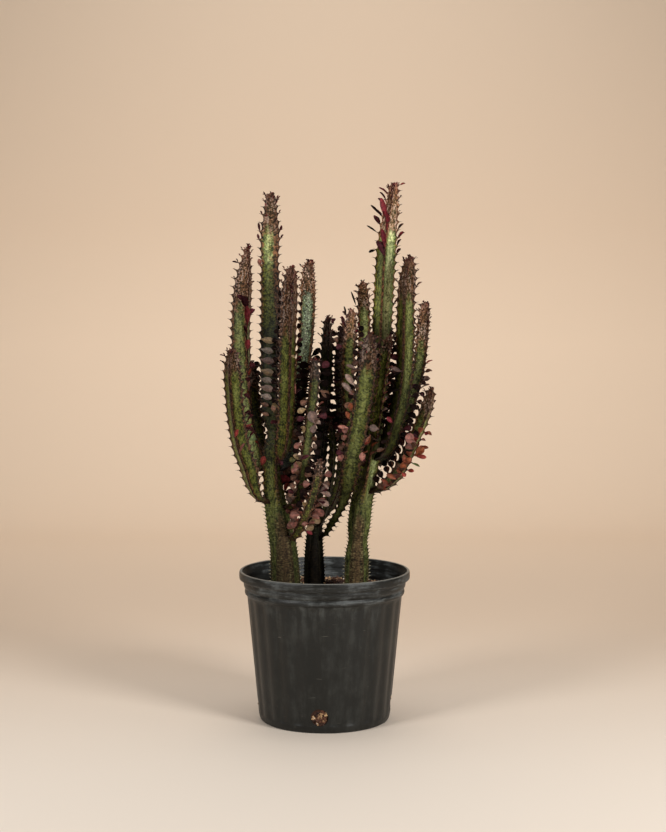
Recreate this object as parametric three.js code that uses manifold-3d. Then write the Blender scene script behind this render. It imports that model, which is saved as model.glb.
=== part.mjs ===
// A potted candelabra spurge: three rooted cuttings with upright three-winged arms, in a black
// nursery pot. Millimetres, +Z up. The origin is the centre of the pot's flat base, -Y is the front.
import * as THREE from 'three';
import { mergeVertices } from 'three/addons/utils/BufferGeometryUtils.js';
import Module from 'manifold-3d';

const wasm = await Module();
wasm.setup();

// ---------------------------------------------------------------- driving dimensions
const GAP = 0.35; // clearance between pieces that rest on each other
const TURN = Math.PI * 2;

const POT_HEIGHT = 228;
const RIM_RADIUS = 130;
const BODY_TOP_RADIUS = 118.4;
const BODY_TOP = 191;
const BODY_FOOT_RADIUS = 100.8;
const BODY_FOOT = 9;
const FOOT_RADIUS = 96.5;
const WALL = 1.8;
const FLUTES = 24;
const FLUTE_DEPTH = 1.6;
const FLUTE_RUNOUT = 6; // length over which a flute fades at its two ends
const DRAIN_RADIUS = 13;
const DRAIN_HEIGHT = 24.5;
const DRAIN_COUNT = 4;
const FIRST_DRAIN = -94; // degrees, a little left of the front
const DRAIN_SIDES = 20;
const DRAIN_THROUGH = 30; // long enough to pass through the slanting wall

const SOIL_TOP = 195;
const SOIL_LUMP = 4;
const SOIL_SHRINK = 1.2; // the soil's gap to the wall
const SOIL_RINGS = [115.6, 94, 68, 36]; // radii of the soil top's rings of lumps
const SOIL_MOUND = { x: 16, y: 52, height: 7, spread: 26 };
const ROOT_DEPTH = 70; // how far each trunk is buried
const ROOT_SHARE = 0.72; // the buried trunk's radius, as a share of the trunk's

const TOOTH_PITCH = 12.5; // along an arm
const TRUNK_PITCH = 10.5; // along the old, corky part of a trunk
const TOOTH_OUT = 2.6; // how far a tooth and its spine stand out of the wing's edge
const TIP_TOOTH_OUT = 4.4; // the same in the crowded head at an arm's tip
const NOTCH_IN = 1.7; // how far the scallop between two teeth cuts in
const VALLEY_SHARE = 0.42; // the hollow face between two wings, as a share of the wing's radius
const CORK_VALLEY_SHARE = 0.68; // the same on the old, rounded foot of a trunk
const HOLLOW_STEP = 25; // between two points along a hollow
const NECK_RADIUS = 4.6; // where an arm leaves its trunk
const NECK_RUN = 48; // length over which an arm swells from its neck to its full radius
const WAIST_SPREAD = 15; // half the length of a waist, where a year's growth ended
const BARE_NECK = 16; // the toothless start of an arm
const CROWDED_RUN = 50; // near a tip the teeth stand closer together, down to this share
const CROWDED_SHARE = 0.62;
const HEAD_RUN = 30; // length of the head of long teeth at a tip
const LAST_TOOTH = 3; // the least distance from a wing's last tooth to the stem's tip
const SKIN_END = 2; // where the wings end, below the tip
const END_SHARE = 0.8; // a wing's radius there, as a share of the tip's
const FIRST_NOTCH = 5; // from a wing's first tooth down to the start of its scallops
const ROOT_VALLEY_SHARE = 0.86; // a buried trunk is nearly round
const ROOT_COLLAR = 8; // length over which a root widens into its trunk
const SEAT_GROWTH = 1.8; // a seat's hollows stand this many gaps out, so that the gap is kept
const SEAT_WING_GROWTH = 3.2; // and its wings, whose edges are sharp, this many
const LEAF_THICKNESS = 0.9;

const PLASTIC_BLACK = { color: 0x24241f, roughness: 0.5, metalness: 0 };
const BARK_BROWN = { color: 0x4a3024, roughness: 0.95, metalness: 0 };
const STEM_GREEN = { color: 0x3f4f26, roughness: 0.55, metalness: 0 };

// Every stem: the points its axis runs through, its wing radius at the foot (trunks only), in the
// middle and at the tip, how long the tip's taper is, and which way wing 0 faces at the foot and at
// the tip, in degrees from +X. An arm that stays thin for longer has a neck of its own length.
// `waists` are the heights where a stem is narrower, and by what share.
// `leaves` lists the runs of teeth that still hold a leaf: the wing, the heights, the leaf's
// length, how far it lifts from straight out, swings round the stem and rolls on its own rib, and
// how many teeth each leaf stands for.
const TRUNKS = [
  {
    name: 'left_trunk', footRadius: 22, radius: 17, tipRadius: 8, taper: 70, corkTop: 400,
    facing: [-90, -30], waists: [[437, 0.3], [694, 0.1], [764, 0.14]],
    path: [[-58, -25, 195], [-61, -25, 262], [-70, -24, 316], [-76, -22, 365], [-77, -21, 405],
      [-75, -20, 442], [-79, -19, 487], [-80, -17, 562], [-80, -14, 637], [-81, -12, 712],
      [-79.5, -10, 797]],
    leaves: [
      { wing: 0, from: 456, to: 602, length: 23, lift: 14, swing: -104, roll: -50 },
      { wing: 2, from: 436, to: 482, length: 18, lift: -15, swing: 30, roll: 30 },
      { wing: 2, from: 724, to: 762, length: 12, lift: 50, swing: 0, roll: 0 },
      { wing: 0, from: 706, to: 752, length: 12, lift: 50, swing: 10, roll: 0 },
      { wing: 1, from: 540, to: 760, length: 15, lift: 40, swing: 10, roll: 0, every: 3 },
    ],
  },
  {
    name: 'middle_trunk', footRadius: 15.5, radius: 11.5, tipRadius: 5, taper: 60, corkTop: 330,
    facing: [-90, -80],
    path: [[-16, 30, 195], [-16, 30, 262], [-12, 29, 329], [-5, 28, 406], [1, 27, 483],
      [4, 26, 559], [5, 25, 614]],
    leaves: [
      { wing: 1, from: 470, to: 600, length: 13, lift: 40, swing: 0, roll: 20, every: 3 },
    ],
  },
  {
    name: 'right_trunk', footRadius: 19.5, radius: 18, tipRadius: 8, taper: 120, corkTop: 400,
    facing: [-90, -98], waists: [[275, 0.18]],
    path: [[48, -20, 195], [50, -20, 270], [55, -18, 327], [64, -15, 372], [70, -12, 408],
      [76, -9, 450], [81, -5, 515], [85, 0, 575], [88, 0, 635], [91, 0, 692], [95, 0, 740],
      [101, 0, 780], [104, 0, 813]],
    leaves: [
      { wing: 0, from: 700, to: 770, length: 31, lift: 66, swing: -52, roll: -60, every: 3 },
      { wing: 2, from: 742, to: 798, length: 19, lift: 42, swing: 12, roll: 15 },
      { wing: 1, from: 705, to: 752, length: 14, lift: 55, swing: -10, roll: 25 },
      { wing: 0, from: 398, to: 446, length: 17, lift: 35, swing: 25, roll: 30 },
      { wing: 1, from: 480, to: 680, length: 15, lift: 35, swing: 0, roll: 0, every: 4 },
    ],
  },
];

const ARMS = [
  {
    name: 'left_arm_low_outer', trunk: 'left_trunk', radius: 16.5, tipRadius: 7, taper: 45,
    neck: 75, facing: [-100, -100],
    path: [[-74, -23, 332], [-97, -28, 339], [-107.5, -32, 358], [-115, -35, 386], [-126, -38, 419],
      [-133, -40, 461], [-136, -41, 497], [-138, -41, 530], [-137, -41, 566]],
    leaves: [
      { wing: 1, from: 408, to: 470, length: 15, lift: 35, swing: -25, roll: 30 },
      { wing: 2, from: 528, to: 556, length: 11, lift: 10, swing: 0, roll: 0 },
    ],
  },
  {
    name: 'left_arm_back_outer', trunk: 'left_trunk', radius: 18.5, tipRadius: 3, taper: 85,
    facing: [-65, -65],
    path: [[-76, -20, 380], [-96, 8, 392], [-110, 30, 430], [-121, 42, 498], [-126, 46, 575],
      [-124, 46, 635], [-117, 42, 722]],
    leaves: [
      { wing: 0, from: 556, to: 646, length: 26, lift: 74, swing: -10, roll: -25, every: 2 },
      { wing: 1, from: 470, to: 690, length: 14, lift: 40, swing: 0, roll: 20, every: 4 },
    ],
  },
  {
    name: 'left_arm_shaded', trunk: 'left_trunk', radius: 10.5, tipRadius: 5, taper: 35,
    facing: [120, 120],
    path: [[-77, -20, 404], [-90, -16, 414], [-101, -9, 442], [-107, -5, 485], [-109, -4, 545]],
    leaves: [
      { wing: 1, from: 425, to: 520, length: 14, lift: 30, swing: -10, roll: 35 },
    ],
  },
  {
    name: 'left_arm_front', trunk: 'left_trunk', radius: 15.5, tipRadius: 7.5, taper: 50,
    facing: [-75, -75],
    path: [[-77, -21, 392], [-64, -38, 406], [-57, -50, 442], [-54, -54, 517], [-52, -50, 600],
      [-48, -44, 687]],
    leaves: [
      { wing: 1, from: 470, to: 600, length: 13, lift: 35, swing: -20, roll: 20, every: 2 },
      { wing: 0, from: 470, to: 540, length: 12, lift: 40, swing: 20, roll: 40, every: 3 },
    ],
  },
  {
    name: 'left_arm_back', trunk: 'left_trunk', radius: 15.5, tipRadius: 7, taper: 50,
    facing: [-60, -60],
    path: [[-76, -21, 378], [-55, 7, 388], [-45, 24, 428], [-36, 33, 514], [-29, 36, 575],
      [-25, 36, 635], [-25, 33, 699]],
    leaves: [
      { wing: 1, from: 450, to: 650, length: 14, lift: 40, swing: 0, roll: 20, every: 3 },
    ],
  },
  {
    name: 'left_arm_slim', trunk: 'left_trunk', radius: 10.5, tipRadius: 5.5, taper: 30,
    facing: [-120, -120],
    path: [[-71, -24, 322], [-44, -42, 337], [-34, -50, 375], [-27, -51, 428], [-22, -50, 472],
      [-17, -49, 508], [-16, -48, 552]],
    leaves: [
      { wing: 0, from: 335, to: 446, length: 16, lift: 45, swing: 15, roll: 15 },
      { wing: 1, from: 448, to: 484, length: 14, lift: 45, swing: -40, roll: 20 },
    ],
  },
  {
    name: 'left_arm_short', trunk: 'left_trunk', radius: 8.8, tipRadius: 5, taper: 20,
    facing: [90, 90],
    path: [[-63, -25, 280], [-46, -44, 285], [-35, -57, 303], [-24, -66, 328], [-15, -70, 354],
      [-9, -71, 381], [-7, -71, 404]],
    leaves: [
      { wing: 1, from: 296, to: 350, length: 14, lift: 40, swing: 30, roll: 30 },
      { wing: 2, from: 305, to: 366, length: 15, lift: 30, swing: -15, roll: 40 },
    ],
  },
  {
    name: 'middle_arm_slim', trunk: 'middle_trunk', radius: 6.8, tipRadius: 3, taper: 30,
    facing: [-90, -90],
    path: [[-15, 29, 286], [-3, 14, 302], [5, 0, 336], [11, -10, 380], [12, -14, 425],
      [8, -15, 462]],
    leaves: [],
  },
  {
    name: 'middle_arm_front', trunk: 'middle_trunk', radius: 16.5, tipRadius: 7, taper: 45,
    neck: 170, facing: [90, 90],
    path: [[-16, 30, 268], [2, 20, 282], [9, 8, 296], [16, -6, 311], [24, -20, 331], [31, -36, 360],
      [41, -54, 405], [52, -60, 458], [61, -64, 517], [68, -64, 590]],
    leaves: [
      { wing: 1, from: 402, to: 560, length: 17, lift: 38, swing: 15, roll: 35 },
      { wing: 2, from: 402, to: 432, length: 12, lift: 40, swing: -20, roll: 30 },
    ],
  },
  {
    name: 'middle_arm_right', trunk: 'middle_trunk', radius: 10.5, tipRadius: 5, taper: 40,
    facing: [-90, -90],
    path: [[-14, 30, 302], [5, 36, 314], [18, 38, 338], [26, 37, 374], [29, 36, 423],
      [25, 36, 484], [24, 36, 545], [31, 34, 602]],
    leaves: [
      { wing: 2, from: 450, to: 580, length: 11, lift: 40, swing: 10, roll: 20, every: 2 },
    ],
  },
  {
    name: 'right_arm_front', trunk: 'right_trunk', radius: 16, tipRadius: 6, taper: 45,
    facing: [-100, -100],
    path: [[72, -12, 396], [90, -30, 412], [101, -40, 446], [110, -42, 480], [117, -41, 516],
      [121.5, -38, 554], [122.5, -36, 606], [122.5, -34, 650], [127, -32, 703]],
    leaves: [
      { wing: 2, from: 486, to: 552, length: 14, lift: 35, swing: 20, roll: 30 },
      { wing: 1, from: 500, to: 680, length: 13, lift: 40, swing: 0, roll: 0, every: 3 },
    ],
  },
  {
    name: 'right_arm_outer', trunk: 'right_trunk', radius: 12.5, tipRadius: 7, taper: 40,
    facing: [-60, -60],
    path: [[69, -13, 388], [92, 3, 396], [110, 17, 424], [123, 25, 454], [134, 28, 484],
      [142, 29, 514], [148, 28, 546], [152, 26, 596], [154, 24, 635]],
    leaves: [
      { wing: 0, from: 498, to: 552, length: 15, lift: 30, swing: 25, roll: 20 },
      { wing: 2, from: 470, to: 610, length: 12, lift: 40, swing: 0, roll: 20, every: 2 },
    ],
  },
  {
    name: 'right_arm_low_outer', trunk: 'right_trunk', radius: 12, tipRadius: 5.5, taper: 35,
    facing: [-80, -80],
    path: [[61, -17, 346], [84, -21, 354], [97, -23, 363], [109, -24, 375], [116, -25, 387],
      [122, -26, 399], [130, -26, 416], [135, -26, 429], [142, -26, 444], [148, -26, 459],
      [154, -26, 476], [158, -26, 492], [160, -26, 507]],
    leaves: [
      { wing: 0, from: 352, to: 442, length: 16, lift: 40, swing: -20, roll: 20 },
      { wing: 1, from: 404, to: 452, length: 14, lift: 20, swing: -10, roll: 30 },
      { wing: 2, from: 365, to: 430, length: 13, lift: 45, swing: 0, roll: 20 },
    ],
  },
  {
    name: 'right_arm_back', trunk: 'right_trunk', radius: 11.5, tipRadius: 6.5, taper: 35,
    facing: [90, 90],
    path: [[70, -12, 396], [63, 16, 408], [58, 36, 448], [59, 46, 529], [61, 47, 580],
      [60, 46, 620], [58, 43, 667]],
    leaves: [
      { wing: 0, from: 470, to: 640, length: 14, lift: 35, swing: 0, roll: 0, every: 3 },
    ],
  },
  {
    name: 'right_arm_left', trunk: 'right_trunk', radius: 11.5, tipRadius: 6, taper: 40,
    facing: [90, 90],
    path: [[68, -13, 386], [50, -22, 400], [41, -24, 436], [37, -25, 486], [35, -26, 523],
      [37, -26, 561], [41, -24, 625]],
    leaves: [
      { wing: 1, from: 590, to: 618, length: 11, lift: 40, swing: 0, roll: 20 },
    ],
  },
  {
    name: 'right_arm_short', trunk: 'right_trunk', radius: 9, tipRadius: 5.5, taper: 25,
    facing: [-70, -70],
    path: [[75, -10, 420], [77, -32, 438], [82, -43, 480], [89, -44, 532], [93, -44, 561],
      [97, -44, 586]],
    leaves: [
      { wing: 0, from: 470, to: 540, length: 13, lift: 40, swing: 20, roll: 30 },
    ],
  },
];

// ---------------------------------------------------------------- small helpers
const mix = (a, b, t) => a + (b - a) * t;
const smooth = (t) => {
  const c = Math.min(1, Math.max(0, t));
  return c * c * (3 - 2 * c);
};
const radians = (degrees) => (degrees * Math.PI) / 180;

// A repeatable number from 0 to 1 for a pair of counting numbers.
const chance = (a, b = 0) => {
  const x = Math.sin(a * 12.9898 + b * 78.233) * 43758.5453;
  return x - Math.floor(x);
};

const solidOf = (geometry) => {
  const g = geometry.index ? geometry.toNonIndexed() : geometry.clone();
  g.deleteAttribute('normal');
  g.deleteAttribute('uv');
  const merged = mergeVertices(g, 1e-4);
  return new wasm.Manifold(new wasm.Mesh({
    numProp: 3,
    vertProperties: merged.attributes.position.array,
    triVerts: new Uint32Array(merged.index.array),
  }));
};

const geometryOf = (solid) => {
  const mesh = solid.getMesh();
  const g = new THREE.BufferGeometry();
  g.setAttribute('position', new THREE.BufferAttribute(Float32Array.from(mesh.vertProperties), 3));
  g.setIndex(new THREE.BufferAttribute(Uint32Array.from(mesh.triVerts), 1));
  g.computeVertexNormals();
  return g;
};

const largestBody = (solid) => solid.decompose()
  .reduce((a, b) => (b.volume() > a.volume() ? b : a));

// ---------------------------------------------------------------- pot
// The outline of the pot's outer face from the foot to the top of the rolled rim: radius, height.
const POT_OUTSIDE = [
  [FOOT_RADIUS, 0], [BODY_FOOT_RADIUS, BODY_FOOT],
  [BODY_FOOT_RADIUS + 0.6, BODY_FOOT + FLUTE_RUNOUT],
  [BODY_TOP_RADIUS - 0.6, BODY_TOP - FLUTE_RUNOUT], [BODY_TOP_RADIUS, BODY_TOP],
  [121.8, 195.5], [121.4, 201.8], [123.2, 204.2], [123, 213], [129.4, 215.6],
  [RIM_RADIUS, 224], [127.6, POT_HEIGHT],
];
// Its inner face, from the rim down to the floor, a wall's thickness inside the outer one.
const POT_INSIDE = [
  [125, 226.4], [121.4, 214], [119.4, 202.5], [119.6, 196.4],
  [BODY_TOP_RADIUS - WALL, BODY_TOP + 0.6],
  [BODY_TOP_RADIUS - 0.6 - WALL, BODY_TOP - FLUTE_RUNOUT],
  [BODY_FOOT_RADIUS + 0.6 - WALL, BODY_FOOT + FLUTE_RUNOUT], [BODY_FOOT_RADIUS - WALL, BODY_FOOT],
  [96, WALL],
];

// Two columns of vertices a flute: the even ones stand out, the odd ones are pressed in.
const latheWithFlutes = (outline) => {
  const points = outline.map(([r, z]) => new THREE.Vector2(r, z));
  const g = new THREE.LatheGeometry(points, FLUTES * 2);
  g.rotateX(Math.PI / 2);
  const p = g.attributes.position;
  for (let i = 0; i < p.count; i++) {
    const x = p.getX(i);
    const y = p.getY(i);
    const z = p.getZ(i);
    const r = Math.hypot(x, y);
    const column = Math.round((Math.atan2(y, x) / TURN) * FLUTES * 2);
    const onBody = z > BODY_FOOT + 1 && z < BODY_TOP - 1 && r > BODY_FOOT_RADIUS / 2;
    if (onBody && column % 2 !== 0) {
      p.setXY(i, (x * (r - FLUTE_DEPTH)) / r, (y * (r - FLUTE_DEPTH)) / r);
    }
  }
  return solidOf(g);
};

const makePot = () => {
  let pot = latheWithFlutes([[0, 0], ...POT_OUTSIDE, ...POT_INSIDE, [0, WALL]]);
  for (let i = 0; i < DRAIN_COUNT; i++) {
    const drill = new THREE.CylinderGeometry(
      DRAIN_RADIUS, DRAIN_RADIUS, DRAIN_THROUGH, DRAIN_SIDES,
    );
    drill.rotateZ(Math.PI / 2);
    drill.translate(BODY_FOOT_RADIUS, 0, DRAIN_HEIGHT);
    drill.rotateZ(radians(FIRST_DRAIN + (360 / DRAIN_COUNT) * i));
    pot = pot.subtract(solidOf(drill));
  }
  return pot;
};

// ---------------------------------------------------------------- soil
// Fills the pot's inside to its lumpy top, a hair inside the wall.
const makeSoil = () => {
  const wallUp = POT_INSIDE.slice().reverse().filter(([, z]) => z < SOIL_TOP - 3)
    .map(([r, z]) => [r - SOIL_SHRINK, z + GAP]);
  const top = [...SOIL_RINGS, 0].map((r) => [r, SOIL_TOP]);
  const outline = [[0, WALL + GAP], ...wallUp, ...top];
  const soil = geometryOf(latheWithFlutes(outline));
  const p = soil.attributes.position;
  for (let i = 0; i < p.count; i++) {
    const [x, y, z] = [p.getX(i), p.getY(i), p.getZ(i)];
    if (z < SOIL_TOP - 0.5) continue;
    const away = Math.hypot(x - SOIL_MOUND.x, y - SOIL_MOUND.y) / SOIL_MOUND.spread;
    const lump = (chance(Math.round(x * 10), Math.round(y * 10)) - 0.5) * 2 * SOIL_LUMP;
    p.setZ(i, z + lump + SOIL_MOUND.height * Math.exp(-away * away));
  }
  return solidOf(soil);
};

// ---------------------------------------------------------------- stems
// The line a stem grows along, with the wings' directions and radii at any distance s from its foot.
const axisOf = (stem) => {
  const isTrunk = stem.footRadius !== undefined;
  const points = stem.path.map((p) => new THREE.Vector3(...p));
  if (isTrunk) points.unshift(points[0].clone().setZ(points[0].z - ROOT_DEPTH));
  const curve = new THREE.CatmullRomCurve3(points, false, 'catmullrom', 0.5);
  curve.arcLengthDivisions = 600;
  const length = curve.getLength();
  const lean = points.at(-1).clone().sub(points[0]);
  const side = isTrunk ? new THREE.Vector3(1, 0, 0)
    : new THREE.Vector3(-lean.y, lean.x, 0).normalize();
  const sideAngle = Math.atan2(side.y, side.x);

  const at = (s) => {
    const t = Math.min(1, Math.max(0, s / length));
    const along = curve.getTangentAt(t);
    const across = side.clone().addScaledVector(along, -side.dot(along)).normalize();
    return { point: curve.getPointAt(t), along, across, up: along.clone().cross(across) };
  };
  const wingDirection = (frame, s, wing) => {
    const facing = mix(stem.facing[0], stem.facing[1], smooth(s / length));
    const angle = radians(facing + 120 * wing) - sideAngle;
    return frame.across.clone().multiplyScalar(Math.cos(angle))
      .addScaledVector(frame.up, Math.sin(angle));
  };
  const corkShare = (z) => (isTrunk ? 1 - smooth((z - SOIL_TOP) / (stem.corkTop - SOIL_TOP)) : 0);
  const radiusAt = (s, z) => {
    let r = stem.radius;
    if (isTrunk) {
      r = mix(stem.radius, stem.footRadius, corkShare(z));
      r = mix(stem.footRadius * ROOT_SHARE, r, smooth((z - SOIL_TOP + ROOT_COLLAR) / ROOT_COLLAR));
    } else {
      r = mix(NECK_RADIUS, r, smooth(s / (stem.neck ?? NECK_RUN)));
    }
    for (const [height, depth] of stem.waists ?? []) {
      r *= 1 - depth * Math.exp(-(((z - height) / WAIST_SPREAD) ** 2));
    }
    const left = (length - s) / stem.taper;
    return left < 1 ? mix(stem.tipRadius, r, Math.sin((left * Math.PI) / 2)) : r;
  };
  const valleyAt = (z) => {
    const share = mix(VALLEY_SHARE, CORK_VALLEY_SHARE, corkShare(z));
    return z < SOIL_TOP - 2 ? ROOT_VALLEY_SHARE : share;
  };
  return { at, wingDirection, corkShare, radiusAt, valleyAt, length, isTrunk };
};

// The places of a wing's teeth, closer together on the cork and towards the tip.
const toothPlaces = (stem, axis, wing) => {
  const places = [];
  const first = axis.isTrunk ? ROOT_DEPTH + 4 : BARE_NECK;
  let s = first + (wing / 3) * TOOTH_PITCH;
  while (s < axis.length - LAST_TOOTH) {
    places.push(s);
    const pitch = mix(TOOTH_PITCH, TRUNK_PITCH, axis.corkShare(axis.at(s).point.z));
    s += pitch * mix(CROWDED_SHARE, 1, smooth((axis.length - s) / CROWDED_RUN));
  }
  return places;
};

// A stem as one closed skin: three toothed ridges and the three hollows between them, zipped
// together along the stem. With `clear` it is a little fatter and longer all round, to cut a seat.
const stemSkin = (stem, clear = 0) => {
  const axis = axisOf(stem);
  const vertices = [];
  const faces = [];
  const lines = [];
  const addVertex = (s, radius, wing) => {
    const frame = axis.at(s);
    const direction = axis.wingDirection(frame, s, wing);
    const growth = clear * (wing % 1 ? SEAT_GROWTH : SEAT_WING_GROWTH);
    const point = frame.point.addScaledVector(direction, radius + growth);
    if (s === 0) point.addScaledVector(frame.along, -clear);
    vertices.push(point);
    return { s, index: vertices.length - 1 };
  };
  const wingRadius = (s) => axis.radiusAt(s, axis.at(s).point.z);
  const end = axis.length - SKIN_END;
  const collar = ROOT_DEPTH - ROOT_COLLAR;

  for (let wing = 0; wing < 3; wing++) {
    const ridge = [addVertex(0, wingRadius(0), wing)];
    if (axis.isTrunk) ridge.push(addVertex(collar, wingRadius(collar), wing));
    const teeth = toothPlaces(stem, axis, wing);
    teeth.forEach((s, i) => {
      const tooth = mix(TIP_TOOTH_OUT, TOOTH_OUT, smooth((axis.length - s) / HEAD_RUN));
      const notch = i ? (s + teeth[i - 1]) / 2 : s - FIRST_NOTCH;
      ridge.push(addVertex(notch, wingRadius(notch) - NOTCH_IN, wing));
      ridge.push(addVertex(s, wingRadius(s) + tooth, wing));
    });
    ridge.push(addVertex(end, wingRadius(end) * END_SHARE, wing));
    lines.push(ridge);

    const stations = [0];
    if (axis.isTrunk) stations.push(collar, ROOT_DEPTH + 2);
    const first = stations.at(-1);
    const spans = Math.round((end - first) / HOLLOW_STEP);
    for (let i = 1; i <= spans; i++) stations.push(first + ((end - first) * i) / spans);
    lines.push(stations.map((s) => {
      const z = axis.at(s).point.z;
      return addVertex(s, axis.radiusAt(s, z) * axis.valleyAt(z), wing + 0.5);
    }));
  }

  const zip = (a, b) => {
    let i = 0;
    let j = 0;
    while (i < a.length - 1 || j < b.length - 1) {
      const stepA = j === b.length - 1 || (i < a.length - 1 && a[i + 1].s <= b[j + 1].s);
      if (stepA) faces.push([a[i].index, b[j].index, a[++i].index]);
      else faces.push([a[i].index, b[j].index, b[++j].index]);
    }
  };
  lines.forEach((line, k) => zip(line, lines[(k + 1) % lines.length]));
  const foot = lines.map((line) => line[0].index);
  const top = lines.map((line) => line.at(-1).index);
  const frame = axis.at(axis.length);
  vertices.push(frame.point.addScaledVector(frame.along, clear + 1));
  const apex = vertices.length - 1;
  for (let k = 0; k < top.length; k++) faces.push([top[k], top[(k + 1) % top.length], apex]);
  for (let k = 1; k < foot.length - 1; k++) faces.push([foot[0], foot[k + 1], foot[k]]);

  return new wasm.Manifold(new wasm.Mesh({
    numProp: 3,
    vertProperties: Float32Array.from(vertices.flatMap((v) => v.toArray())),
    triVerts: Uint32Array.from(faces.flat()),
  }));
};

// ---------------------------------------------------------------- leaves
const LEAF_WIDTH_SHARE = 0.54; // a leaf's width, as a share of its length
const LEAF_WIDEST = 0.64; // where it is widest
const LEAF_ROOT = 3; // how far the leaf is sunk into its tooth
const LEAF_TURN = 14; // degrees by which the leaves of a run differ in lift and swing
const LEAF_ROLL = 16; // and in roll
const LEAF_VARIETY = 0.15; // and in length, as a share of it

// A flat blade rooted in the tooth at s, each a little different from the others of its run.
const leafBlade = (stem, axis, s, run, number) => {
  const vary = (amount, kind) => amount * (chance(number, kind) * 2 - 1);
  const frame = axis.at(s);
  const out = axis.wingDirection(frame, s, run.wing);
  const lift = radians(run.lift + vary(LEAF_TURN, 1));
  const swing = radians(run.swing + vary(LEAF_TURN, 2));
  const roll = radians(run.roll + vary(LEAF_ROLL, 3));
  const length = run.length * (1 + vary(LEAF_VARIETY, 4));
  const wide = frame.along.clone().cross(out).normalize().applyAxisAngle(frame.along, swing);
  const rib = out.clone().applyAxisAngle(frame.along, swing).multiplyScalar(Math.cos(lift))
    .addScaledVector(frame.along, Math.sin(lift));
  wide.applyAxisAngle(rib, roll);
  const up = rib.clone().cross(wide).negate().normalize();
  const foot = axis.radiusAt(s, frame.point.z) + TOOTH_OUT - LEAF_ROOT;
  const base = frame.point.clone().addScaledVector(out, foot);

  const half = (length * LEAF_WIDTH_SHARE) / 2;
  const outline = new THREE.Shape([
    new THREE.Vector2(0, -half * 0.3), new THREE.Vector2(length * LEAF_WIDEST, -half),
    new THREE.Vector2(length, 0), new THREE.Vector2(length * LEAF_WIDEST, half),
    new THREE.Vector2(0, half * 0.3),
  ]);
  const blade = new THREE.ExtrudeGeometry(outline, { depth: LEAF_THICKNESS, bevelEnabled: false });
  blade.translate(0, 0, -LEAF_THICKNESS / 2);
  blade.applyMatrix4(new THREE.Matrix4().makeBasis(rib, up.clone().cross(rib), up).setPosition(base));
  return solidOf(blade);
};

// ---------------------------------------------------------------- assembly
const SAME_POINT = 0.03; // corners nearer than this to each other are one corner
const CLEAR = 0.5; // a leaf that would come nearer than this to another stem is left off

const stems = [...TRUNKS, ...ARMS];
const skins = new Map(stems.map((stem) => [stem.name, stemSkin(stem)]));
for (const trunk of TRUNKS) {
  const seat = stemSkin(trunk, GAP);
  ARMS.filter((arm) => arm.trunk === trunk.name).forEach((arm) => {
    skins.set(arm.name, largestBody(skins.get(arm.name).subtract(seat)));
  });
}

const pot = makePot();
const soil = TRUNKS.reduce(
  (solid, trunk) => solid.subtract(stemSkin(trunk, GAP)),
  makeSoil(),
);

stems.forEach((stem, stemNumber) => {
  const axis = axisOf(stem);
  const others = [...skins].filter(([name]) => name !== stem.name).map(([, solid]) => solid);
  const blades = [];
  stem.leaves.forEach((run, runNumber) => {
    toothPlaces(stem, axis, run.wing).forEach((s, i) => {
      const z = axis.at(s).point.z;
      if (z < run.from || z > run.to || i % (run.every ?? 1)) return;
      const blade = leafBlade(stem, axis, s, run, stemNumber * 500 + runNumber * 90 + i);
      if (others.every((other) => blade.minGap(other, CLEAR * 2) > CLEAR)) blades.push(blade);
    });
  });
  skins.set(stem.name, wasm.Manifold.union([skins.get(stem.name), ...blades]));
});

const group = new THREE.Group();
const addPiece = (name, solid, finish) => {
  const geometry = geometryOf(solid.asOriginal().simplify(SAME_POINT));
  const mesh = new THREE.Mesh(geometry, new THREE.MeshStandardMaterial(finish));
  mesh.name = name;
  group.add(mesh);
};
addPiece('pot', pot, PLASTIC_BLACK);
addPiece('soil', soil, BARK_BROWN);
skins.forEach((solid, name) => addPiece(name, solid, STEM_GREEN));

export default group;
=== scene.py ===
# A potted candelabra spurge: three rooted cuttings with their side arms in a black nursery pot.
# Everything is in the frame of the CAD model, in metres; sizes are written in millimetres.
import math
import bpy
import numpy as np
from mathutils import Matrix, Vector, kdtree, noise


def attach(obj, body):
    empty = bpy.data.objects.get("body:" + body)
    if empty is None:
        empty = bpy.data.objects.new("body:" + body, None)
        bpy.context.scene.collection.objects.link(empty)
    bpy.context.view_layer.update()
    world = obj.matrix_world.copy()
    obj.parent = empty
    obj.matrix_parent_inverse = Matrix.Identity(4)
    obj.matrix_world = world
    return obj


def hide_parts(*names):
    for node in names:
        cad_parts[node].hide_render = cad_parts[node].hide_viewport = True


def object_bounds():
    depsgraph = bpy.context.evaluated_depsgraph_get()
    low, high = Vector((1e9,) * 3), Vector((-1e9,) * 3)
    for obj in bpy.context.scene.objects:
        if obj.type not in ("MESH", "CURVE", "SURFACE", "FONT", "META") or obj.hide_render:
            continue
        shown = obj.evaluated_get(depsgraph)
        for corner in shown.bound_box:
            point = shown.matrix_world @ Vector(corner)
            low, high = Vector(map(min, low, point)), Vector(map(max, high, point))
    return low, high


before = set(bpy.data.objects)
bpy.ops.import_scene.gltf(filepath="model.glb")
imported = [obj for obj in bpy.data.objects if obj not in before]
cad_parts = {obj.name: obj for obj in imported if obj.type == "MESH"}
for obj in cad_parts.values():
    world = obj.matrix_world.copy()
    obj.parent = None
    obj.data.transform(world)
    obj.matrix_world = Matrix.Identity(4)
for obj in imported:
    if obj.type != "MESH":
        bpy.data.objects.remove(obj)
cad_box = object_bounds()

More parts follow.
